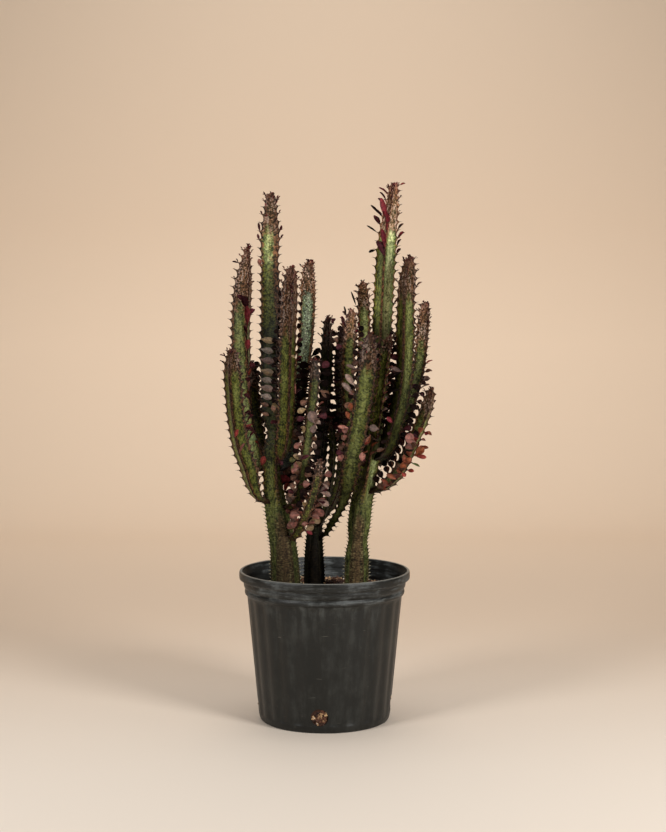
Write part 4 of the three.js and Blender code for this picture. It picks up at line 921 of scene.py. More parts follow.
# Cork cracks across the stem, in ridges about 1.5 mm high and 10 mm wide.
ridges = add_node(t, "ShaderNodeMapping", {"Vector": on_face, "Scale": (100.0, 640.0, 100.0)})
ridges = add_node(t, "ShaderNodeTexNoise", {"Vector": ridges, "Scale": 1.0, "Detail": 3.0})
corky = add_node(t, "ShaderNodeMath", {0: mottle, 1: 1.6}, operation="MULTIPLY")
corky = add_node(t, "ShaderNodeMath", {0: edge, 1: 0.36, 2: corky}, operation="MULTIPLY_ADD")
corky = add_node(t, "ShaderNodeMath", {0: cork, 1: 0.60, 2: corky}, operation="MULTIPLY_ADD")
corky = add_node(t, "ShaderNodeMath", {0: worn, 1: 0.42, 2: corky}, operation="MULTIPLY_ADD")
corky = add_node(t, "ShaderNodeMath", {0: corky, 1: 1.50}, operation="SUBTRACT")
corky = add_node(t, "ShaderNodeMath", {0: corky, 1: 4.0}, operation="MULTIPLY", use_clamp=True)
corky = add_node(t, "ShaderNodeMath", {0: corky, 1: olden}, operation="MULTIPLY")
corky = add_node(t, "ShaderNodeMath", {0: corky, 1: 0.85}, operation="MULTIPLY")
bark_brown = add_node(t, "ShaderNodeMapRange", {"Value": ridges, "From Min": 0.36,
                                                "From Max": 0.64})
bark_brown = add_node(t, "ShaderNodeMix", {"Factor": bark_brown, "A": linear("#281a13"),
                                           "B": linear("#5e4731")}, data_type="RGBA")
colour = add_node(t, "ShaderNodeMix", {"Factor": corky, "A": colour, "B": bark_brown},
                  data_type="RGBA")
fuzz = add_node(t, "ShaderNodeMapRange", {"Value": ridges, "From Min": 0.54, "From Max": 0.66})
fuzz = add_node(t, "ShaderNodeMath", {0: fuzz, 1: olden}, operation="MULTIPLY")
sides = add_node(t, "ShaderNodeMapRange", {"Value": edge, "From Min": 0.85, "From Max": 0.60})
fuzz = add_node(t, "ShaderNodeMath", {0: fuzz, 1: sides}, operation="MULTIPLY")
fuzz = add_node(t, "ShaderNodeMath", {0: fuzz, 1: 0.45}, operation="MULTIPLY")
colour = add_node(t, "ShaderNodeMix", {"Factor": fuzz, "A": colour, "B": linear("#85875a")},
                  data_type="RGBA")
# Purple-brown: along the margins, in spots between, and all over a young head.
fresh = add_node(t, "ShaderNodeMath", {0: 1.0, 1: olden}, operation="SUBTRACT")
rim = add_node(t, "ShaderNodeMath", {0: edge, 1: edge}, operation="MULTIPLY")
rim = add_node(t, "ShaderNodeMath", {0: rim, 1: purple}, operation="MULTIPLY")
rim = add_node(t, "ShaderNodeMath", {0: rim, 1: 0.72, 2: mottle}, operation="MULTIPLY_ADD")
rim = add_node(t, "ShaderNodeMath", {0: young, 1: 0.42, 2: rim}, operation="MULTIPLY_ADD")
rim = add_node(t, "ShaderNodeMath", {0: purple, 1: 0.09, 2: rim}, operation="MULTIPLY_ADD")
rim = add_node(t, "ShaderNodeMath", {0: rim, 1: 0.68}, operation="SUBTRACT")
rim = add_node(t, "ShaderNodeMath", {0: rim, 1: 6.0}, operation="MULTIPLY", use_clamp=True)
rim = add_node(t, "ShaderNodeMath", {0: rim, 1: fresh}, operation="MULTIPLY")
rim = add_node(t, "ShaderNodeMath", {0: rim, 1: 0.9}, operation="MULTIPLY")
wine = add_node(t, "ShaderNodeMapRange", {"Value": speckle, "From Min": 0.38, "From Max": 0.64})
wine = add_node(t, "ShaderNodeMix", {"Factor": wine, "A": linear("#1c0c07"),
                                     "B": linear("#6c4531")}, data_type="RGBA")
colour = add_node(t, "ShaderNodeMix", {"Factor": rim, "A": colour, "B": wine}, data_type="RGBA")
# Heads: brown with greyish cream flecks where new skin stretches.
flecks = add_node(t, "ShaderNodeMath", {0: speckle, 1: lines}, operation="ADD")
flecks = add_node(t, "ShaderNodeMapRange", {"Value": flecks, "From Min": 1.04, "From Max": 1.18})
flecks = add_node(t, "ShaderNodeMath", {0: flecks, 1: young}, operation="MULTIPLY")
flecks = add_node(t, "ShaderNodeMath", {0: flecks, 1: 0.55}, operation="MULTIPLY")
colour = add_node(t, "ShaderNodeMix", {"Factor": flecks, "A": colour, "B": linear("#a08d82")},
                  data_type="RGBA")
budding = add_node(t, "ShaderNodeMix", {"Factor": speckle, "A": linear("#200c08"),
                                        "B": linear("#774a39")}, data_type="RGBA")
colour = add_node(t, "ShaderNodeMix", {"Factor": head, "A": colour, "B": budding},
                  data_type="RGBA")
colour = add_node(t, "ShaderNodeMix", {"Factor": neck, "A": colour, "B": linear("#3c2218")},
                  data_type="RGBA")
dark = add_node(t, "ShaderNodeMapRange", {"Value": edge, "From Min": 0.84, "From Max": 0.98})
dark = add_node(t, "ShaderNodeMath", {0: dark, 1: purple}, operation="MULTIPLY")
dark = add_node(t, "ShaderNodeMath", {0: dark, 1: 0.6}, operation="MULTIPLY")
dark = add_node(t, "ShaderNodeMath", {0: dark, 1: tooth}, operation="MAXIMUM")
dark = add_node(t, "ShaderNodeMath", {0: dark, 1: fresh}, operation="MULTIPLY")
colour = add_node(t, "ShaderNodeMix", {"Factor": dark, "A": colour, "B": linear("#22130f")},
                  data_type="RGBA")
dark = add_node(t, "ShaderNodeMath", {0: seams, 1: scaly}, operation="MULTIPLY")
dark = add_node(t, "ShaderNodeMath", {0: dark, 1: fresh}, operation="MULTIPLY")
colour = add_node(t, "ShaderNodeMix", {"Factor": dark, "A": colour, "B": linear("#2a2017")},
                  data_type="RGBA")
dark = add_node(t, "ShaderNodeMath", {0: speckle, 1: mottle}, operation="ADD")
dark = add_node(t, "ShaderNodeMapRange", {"Value": dark, "From Min": 0.80, "From Max": 1.12,
                                          "To Min": 0.36, "To Max": 1.30})
colour = add_node(t, "ShaderNodeVectorMath", {0: colour, "Scale": dark}, operation="SCALE")
# Painted shade: the colour is scaled down by the stem's shade where it stands in shadow among the
# others, and scaled up as painted light where that value is below 0.
shade_and_light_scale = add_node(t, "ShaderNodeMapRange", {"Value": painted_shade, "To Min": 1.05, "To Max": 0.16},
                 clamp=False)
colour = add_node(t, "ShaderNodeVectorMath", {0: colour, "Scale": shade_and_light_scale}, operation="SCALE")
rough = add_node(t, "ShaderNodeMapRange", {"Value": cork, "To Min": 0.48, "To Max": 0.80})
relief = add_node(t, "ShaderNodeMath", {0: seams, 1: scaly}, operation="MULTIPLY")
relief = add_node(t, "ShaderNodeMath", {0: relief, 1: -0.8, 2: speckle}, operation="MULTIPLY_ADD")
relief = add_node(t, "ShaderNodeMath", {0: barbs, 1: 0.5, 2: relief}, operation="MULTIPLY_ADD")
crack = add_node(t, "ShaderNodeMath", {0: ridges, 1: corky}, operation="MULTIPLY")
relief = add_node(t, "ShaderNodeMath", {0: crack, 1: 1.4, 2: relief}, operation="MULTIPLY_ADD")
relief = add_node(t, "ShaderNodeBump", {"Height": relief, "Strength": 0.65, "Distance": 0.0012})
shader = add_node(t, "ShaderNodeBsdfPrincipled", {
    "Base Color": colour, "Roughness": rough, "IOR": 1.42, "Specular IOR Level": 0.15,
    "Normal": relief})
add_node(t, "ShaderNodeOutputMaterial", {"Surface": shader})

axes, tooth_places, spine_places, rings = {}, {}, {}, {}
for number, name in enumerate(STEMS):
    skin, axes[name], tooth_places[name], spine_places[name], rings[name] = stem_skin(name, number)
    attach(skin, "root")
    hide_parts(name)

# ------------------------------------------------------------------------------------ spines
# Two short, hard spines stand on a tooth, spread a little to both sides. They are the same horny
# tissue as the tooth's shield: brown-black when new, greyed to straw on the old trunks, whose worn
# front wings have lost them. They are shorter on cork and near the growing tips.
SPINE_LENGTH = 4.2
SPINE_ROOT, SPINE_POINT = 0.55, 0.04
SPINE_SPREAD = 34
SPINE_CORK = 0.3  # how corky a wing is where its spines are worn
SPINE_TIP_RUN, SHORT_SPINE = 24, 0.75

horn, t = new_material("spurge_spine_horn")
age = add_node(t, "ShaderNodeAttribute", attribute_name="aged").outputs["Fac"]
place = add_node(t, "ShaderNodeTexCoord").outputs["Object"]
uneven = add_node(t, "ShaderNodeTexNoise", {"Vector": place, "Scale": 900.0})
age = add_node(t, "ShaderNodeMath", {0: age, 1: age}, operation="MULTIPLY")
uneven = add_node(t, "ShaderNodeMapRange", {"Value": uneven, "From Min": 0.3, "From Max": 0.6,
                                            "To Min": 0.4})
age = add_node(t, "ShaderNodeMath", {0: age, 1: uneven}, operation="MULTIPLY")
colour = add_node(t, "ShaderNodeMix", {"Factor": age, "A": linear("#30190f"),
                                       "B": linear("#e6dcb4")}, data_type="RGBA")
shader = add_node(t, "ShaderNodeBsdfPrincipled", {"Base Color": colour, "Roughness": 0.5})
add_node(t, "ShaderNodeOutputMaterial", {"Surface": shader})


def chance(a, b=0):
    """A repeatable number from 0 to 1 for a pair of counting numbers."""
    x = math.sin(a * 12.9898 + b * 78.233) * 43758.5453
    return x - math.floor(x)


def inside_cad(point):
    """Whether a point in millimetres keeps within the CAD model's box."""
    return all(cad_box[0][i] <= point[i] * MM <= cad_box[1][i] for i in range(3))


feet, ways, aged, sizes = [], [], [], []
for number, (name, axis) in enumerate(axes.items()):
    for k in range(3):
        s = spine_places[name][k]
        s = s[s > (ROOT_DEPTH if axis.trunk else 20)]
        if k == 0:
            s = s[axis.cork(axis.at(s)[0][:, 2]) < SPINE_CORK]
        place, along, _, _ = axis.at(s)
        wing = axis.wing(s, k)
        sideways = np.cross(along, wing)
        out, near = margin(axis, s, spine_places[name][k])
        r = axis.radius(s) + out - 0.6
        cork = axis.cork(place[:, 2])
        for i in range(len(s)):
            for sign in (-1, 1):
                apart = 0.7 + 0.6 * chance(number * 90 + i, sign + k)
                a = math.radians(SPINE_SPREAD * apart) * sign
                up = 0.18 + 0.3 * chance(i, number + 7)
                way = wing[i] * math.cos(a) + sideways[i] * math.sin(a) + along[i] * up
                way = way / np.linalg.norm(way)
                foot = place[i] + wing[i] * r[i] + along[i] * 0.8
                long = 0.75 + 0.5 * chance(i * 3 + k, number * 5 + sign)
                if axis.length - s[i] < SPINE_TIP_RUN or cork[i] > SPINE_CORK:
                    long *= SHORT_SPINE
                if not inside_cad(foot + way * SPINE_LENGTH * long):
                    continue
                feet.append(foot)
                ways.append(way)
                sizes.append(long)
                aged.append(cork[i])
points = new_piece("spine_places", feet, [], horn)
for key, kind, slot, values in (("way", "FLOAT_VECTOR", "vector", np.ravel(ways)),
                                ("aged", "FLOAT", "value", aged), ("long", "FLOAT", "value", sizes)):
    points.data.attributes.new(key, kind, "POINT").data.foreach_set(slot, values)

tree, given, sockets = new_growth("spine_pairs", {
    "Spine length": "NodeSocketFloat", "Root radius": "NodeSocketFloat",
    "Point radius": "NodeSocketFloat", "Horn": "NodeSocketMaterial"})
spine = add_node(tree, "GeometryNodeMeshCone", {
    "Vertices": 5, "Radius Top": given.outputs["Point radius"],
    "Radius Bottom": given.outputs["Root radius"], "Depth": given.outputs["Spine length"]})
way = add_node(tree, "GeometryNodeInputNamedAttribute", {"Name": "way"}, data_type="FLOAT_VECTOR")
turned = add_node(tree, "FunctionNodeAlignRotationToVector", {"Vector": way}, axis="Z")
long = add_node(tree, "GeometryNodeInputNamedAttribute", {"Name": "long"}, data_type="FLOAT")
spines = add_node(tree, "GeometryNodeInstanceOnPoints", {
    "Points": given.outputs["Geometry"], "Instance": spine, "Rotation": turned, "Scale": long})
spines = add_node(tree, "GeometryNodeRealizeInstances", {"Geometry": spines})
spines = add_node(tree, "GeometryNodeSetMaterial", {"Geometry": spines,
                                                    "Material": given.outputs["Horn"]})
add_node(tree, "NodeGroupOutput", {"Geometry": spines})
spines = grow("spine_pairs", points, tree, sockets, {
    "Spine length": SPINE_LENGTH * MM, "Root radius": SPINE_ROOT * MM,
    "Point radius": SPINE_POINT * MM, "Horn": horn})
bpy.data.objects.remove(points)
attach(spines, "root")

# ------------------------------------------------------------------------------------ leaves
# Small spoon-shaped leaves, one above each tooth of this year's growth: fleshy, folded a little
# along the rib, wine-red to purple when young, greying to dusty pink as they age and drop.
LEAF_WIDTH_SHARE = 0.54
LEAF_THICKNESS, THIN_LEAF, TIP_LEAF, BUD_LEAF = 1.0, 0.9, 1.3, 2.0  # how fleshy for their length
LEAF_ROOT, TIP_LEAF_ROOT = 3.0, 2.4  # how far a leaf is set into its tooth
LEAF_SWAY, LEAF_ROLL = 14, 16  # how far leaves stray from their run, in degrees either way
LEAF_HELD = 0.0012  # a tooth holds a leaf where the CAD model has one as near as this, in metres
SINGLE_LEAF, SINGLE_LENGTH = 1.3, 13  # a single leaf is no thicker than one of this length
TIP_SHARE, TIP_GAPS = 0.7, 0.25  # the share of a head that has tip leaves, and of bare teeth there
TIP_LIFT, OUTER_LIFT = 62, 38
TIP_LENGTHS, BUD_LENGTHS = (3.2, 8.0), (2.2, 4.8)
# The "shadow" colour is near black: painted shadow, for leaves that stand in for the shade between the
# stems. The other colours are the leaves' own.
LEAF_COLOURS = {  # each from its darker to its lighter tint
    "shadow": ("#0a0605", "#1c110f"), "wine": ("#2e1518", "#4a2428"),
    "brown": ("#3f2a20", "#6a4836"), "crimson": ("#50141d", "#74272c"),
    "red": ("#702523", "#8f3a2e"), "rust": ("#5c2c1d", "#783e29"),
    "orange": ("#6c351c", "#884a2e"), "salmon": ("#7c493d", "#9a695a"),
    "rose": ("#5c352c", "#7c4e42"), "mauve": ("#4a3731", "#70584c"),
    "pale": ("#5f4a42", "#846b5e"), "dusty": ("#5e5246", "#86756a"), "tan": ("#655038", "#88704e"),
    "olive": ("#5e5c30", "#7c763f"), "green": ("#43522a", "#5e6e38"), "sage": ("#8a9574", "#adb592")}
# The last two looks are painted shadow in part: most of the first and a third of the second are
# near-black "shadow" leaves that fill the shade between the stems.
LEAF_LOOKS = {  # the share of each colour in a run of leaves
    "pale": (("pale", 0.1), ("mauve", 0.26), ("rose", 0.28), ("tan", 0.14), ("olive", 0.08),
             ("brown", 0.14)),
    "dark": (("wine", 0.55), ("brown", 0.3), ("crimson", 0.08), ("rose", 0.07)),
    "red": (("crimson", 0.35), ("red", 0.25), ("rust", 0.2), ("wine", 0.2)),
    "rusty": (("rust", 0.45), ("red", 0.12), ("brown", 0.2), ("rose", 0.13), ("wine", 0.1)),
    "mixed": (("rose", 0.3), ("red", 0.2), ("wine", 0.2), ("mauve", 0.2), ("orange", 0.1)),
    "mostly_shadow": (("shadow", 0.86), ("wine", 0.08), ("brown", 0.06)),
    "thicket_and_shadow": (("shadow", 0.3), ("brown", 0.25), ("rose", 0.2), ("tan", 0.15), ("wine", 0.1))}

leaf_skin, t = new_material("spurge_leaf_fleshy")
place = add_node(t, "ShaderNodeTexCoord").outputs["Object"]
look = add_node(t, "ShaderNodeAttribute", attribute_name="leaf_colour").outputs["Color"]
rib = add_node(t, "ShaderNodeAttribute", attribute_name="rib").outputs["Fac"]
blotches = add_node(t, "ShaderNodeTexNoise", {"Vector": place, "Scale": 260.0, "Detail": 3.0})
dark = add_node(t, "ShaderNodeMapRange", {"Value": blotches, "From Min": 0.38, "From Max": 0.62,
                                          "To Min": 0.50, "To Max": 1.05})
colour = add_node(t, "ShaderNodeVectorMath", {0: look, "Scale": dark}, operation="SCALE")
light = add_node(t, "ShaderNodeVectorMath", {0: colour, "Scale": 1.5}, operation="SCALE")
colour = add_node(t, "ShaderNodeMix", {"Factor": rib, "A": colour, "B": light}, data_type="RGBA")
gloss = add_node(t, "ShaderNodeMapRange", {"Value": look, "From Min": 0.01, "From Max": 0.08,
                                           "To Min": 0.02, "To Max": 0.35})
relief = add_node(t, "ShaderNodeBump", {"Height": blotches, "Strength": 0.35, "Distance": 0.0006})
shader = add_node(t, "ShaderNodeBsdfPrincipled", {
    "Base Color": colour, "Roughness": 0.56, "IOR": 1.42, "Specular IOR Level": gloss,
    "Normal": relief, "Subsurface Weight": 0.08, "Subsurface Scale": 0.003})
add_node(t, "ShaderNodeOutputMaterial", {"Surface": shader})

# One leaf of unit length: a closed, cupped spoon with a narrow stalk and a rounded, reflexed tip.
LEAF_STATIONS = ((0.0, 0.10), (0.16, 0.15), (0.34, 0.36), (0.52, 0.47), (0.70, 0.50), (0.86, 0.38),
                 (0.97, 0.14))
ACROSS = (-1, -0.5, 0, 0.5, 1)
vertices, ribs = [], []
for side in (1, -1):
    for x, half in LEAF_STATIONS:
        for v in ACROSS:
            cup = 0.13 * half / 0.5 * v * v - 0.10 * max(0.0, x - 0.45) ** 2 * 3 + 0.04 * x
            thick = 0.030 * (1 - v * v) * (1.0 if x < 0.8 else 0.6)
            vertices.append((x, v * half, cup + side * thick))
            ribs.append(1.0 if v == 0 and side > 0 else 0.0)
per_side = len(vertices) // 2
faces = []
for i in range(len(LEAF_STATIONS) - 1):
    for j in range(len(ACROSS) - 1):
        a = i * len(ACROSS) + j
        faces.append((a, a + len(ACROSS), a + len(ACROSS) + 1, a + 1))
        b = a + per_side
        faces.append((b, b + 1, b + len(ACROSS) + 1, b + len(ACROSS)))
for i in (0, len(LEAF_STATIONS) - 1):
    for j in range(len(ACROSS) - 1):
        a = i * len(ACROSS) + j
        quad = (a, a + 1, a + 1 + per_side, a + per_side)
        faces.append(quad if i == 0 else quad[::-1])
one_leaf = new_piece("one_leaf", np.array(vertices) / MM, faces, leaf_skin, sharp_angle=80)
one_leaf.data.attributes.new("rib", "FLOAT", "POINT").data.foreach_set("value", ribs)


def turned_about(v, about, angle):
    """A direction turned about another by an angle in radians."""
    return np.array(Matrix.Rotation(angle, 3, Vector(about)) @ Vector(v))


def leaf_colour(name, number):
    """One of the plant's leaf colours, in a tint of its own."""
    pair, tint = LEAF_COLOURS[name], chance(number, 22)
    return [mix(a, b, tint) for a, b in zip(linear(pair[0]), linear(pair[1]))]


def drawn_colour(look, number):
    """A colour drawn from the shares that a run of leaves has of each."""
    draw = chance(number, 21)
    for name, share in LEAF_LOOKS[look]:
        draw -= share
        if draw <= 0:
            break
    return leaf_colour(name, number)


places, turns, scales, colours = [], [], [], []


def add_leaf(base, rib, wide, length, width, thick, colour):
    """One leaf on its foot, if it keeps within the CAD model's box."""
    reach = wide * (length * width / 2 + 0.4)
    ends = [base, base + rib * (length + 0.4)] + [
        base + rib * length * share + reach * sign for share in (0.5, 0.9) for sign in (-1, 1)]
    if not all(inside_cad(end) for end in ends):
        return
    up = np.cross(rib, wide)
    turn = Matrix(np.column_stack([rib, wide, up]).tolist()).to_quaternion()
    places.append(base)
    turns.append(tuple(turn))
    scales.append((length, length * width, length * thick))
    colours.append(colour)


for stem_number, (name, axis) in enumerate(axes.items()):
    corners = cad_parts[name].data.vertices
    tree_of_corners = kdtree.KDTree(len(corners))
    for i, corner in enumerate(corners):
        tree_of_corners.insert(corner.co, i)
    tree_of_corners.balance()
    for run_number, run in enumerate(STEMS[name]["leaves"]):
        wing_number, low, high, length, lift, swing, roll, every, look = run
        for i, s in enumerate(tooth_places[name][wing_number]):
            here = np.array([s])
            place, along = axis.at(here)[0][0], axis.at(here)[1][0]
            if not low <= place[2] <= high or i % every:
                continue
            number = stem_number * 500 + run_number * 90 + i
            lifted, swung, rolled = (math.radians(v + a * (2 * chance(number, kind) - 1))
                                     for v, a, kind in ((lift, LEAF_SWAY, 1),
                                                        (swing, LEAF_SWAY, 2),
                                                        (roll, LEAF_ROLL, 3)))
            size = length * (1 + 0.15 * (2 * chance(number, 4) - 1))
            out = axis.wing(here, wing_number)[0]
            wide = turned_about(unit(np.cross(along, out)), along, swung)
            rib = turned_about(out, along, swung) * math.cos(lifted) + along * math.sin(lifted)
            wide = turned_about(wide, rib, rolled)
            base = place + out * (axis.radius(here)[0] + TOOTH_OUT - LEAF_ROOT)
            nearest = tree_of_corners.find(Vector(base + rib * size) * MM)
            if nearest[2] > LEAF_HELD:
                continue  # this tooth's leaf has dropped
            width = LEAF_WIDTH_SHARE * (0.9 + 0.25 * chance(number, 8))
            add_leaf(base, rib, wide, size, width, LEAF_THICKNESS, drawn_colour(look, number))
    # The growing tip: tiny leaves on the crowded teeth, some of them not unrolled yet.
    head = TIP_SHARE * STEMS[name]["head"]
    for k in range(3):
        for i, s in enumerate(tooth_places[name][k]):
            left = axis.length - s
            number = 20000 + stem_number * 300 + k * 80 + i
            if left > head or chance(number, 5) < TIP_GAPS:
                continue
            here = np.array([s])
            place, along = axis.at(here)[0][0], axis.at(here)[1][0]
            out = axis.wing(here, k)[0]
            lift = mix(TIP_LIFT, OUTER_LIFT, left / head) + 50 * (chance(number, 1) - 0.5)
            lift = math.radians(lift)
            swing = math.radians(80 * (chance(number, 2) - 0.5))
            wide = turned_about(unit(np.cross(along, out)), along, swing)
            rib = turned_about(out, along, swing) * math.cos(lift) + along * math.sin(lift)
            wide = turned_about(wide, rib, math.radians(70 * (chance(number, 3) - 0.5)))
            thin = chance(number, 6) < 0.3
            size = mix(*TIP_LENGTHS, chance(number, 4) ** 1.5) * (1.2 if thin else 1.0)
            base = place + out * (axis.radius(here)[0] + TIP_TOOTH_OUT - TIP_LEAF_ROOT)
            add_leaf(base, rib, wide, size, 0.22 if thin else 0.48, TIP_LEAF,
                     drawn_colour("dark", number))
    # Buds and scale leaves all over the head, closest near the tip.
    s, place, along, ring = rings[name]
    for i in range(round(0.9 * STEMS[name]["head"])):
        number = 40000 + stem_number * 300 + i
        depth = 0.8 * STEMS[name]["head"] * chance(number, 1) ** 1.6
        row = min(np.searchsorted(s, axis.length - 2 - depth), len(s) - 1)
        column = int(chance(number, 2) * ring.shape[1])
        foot = ring[row, column]
        out = unit(foot - place[row])
        lift = math.radians(40 + 35 * chance(number, 3))
        rib = out * math.cos(lift) + along[row] * math.sin(lift)
        wide = turned_about(unit(np.cross(rib, out)), rib, 2 * chance(number, 4) - 1)
        add_leaf(foot - out * 0.5, rib, wide, mix(*BUD_LENGTHS, chance(number, 5)), 0.6, BUD_LEAF,
                 drawn_colour("dark", number))
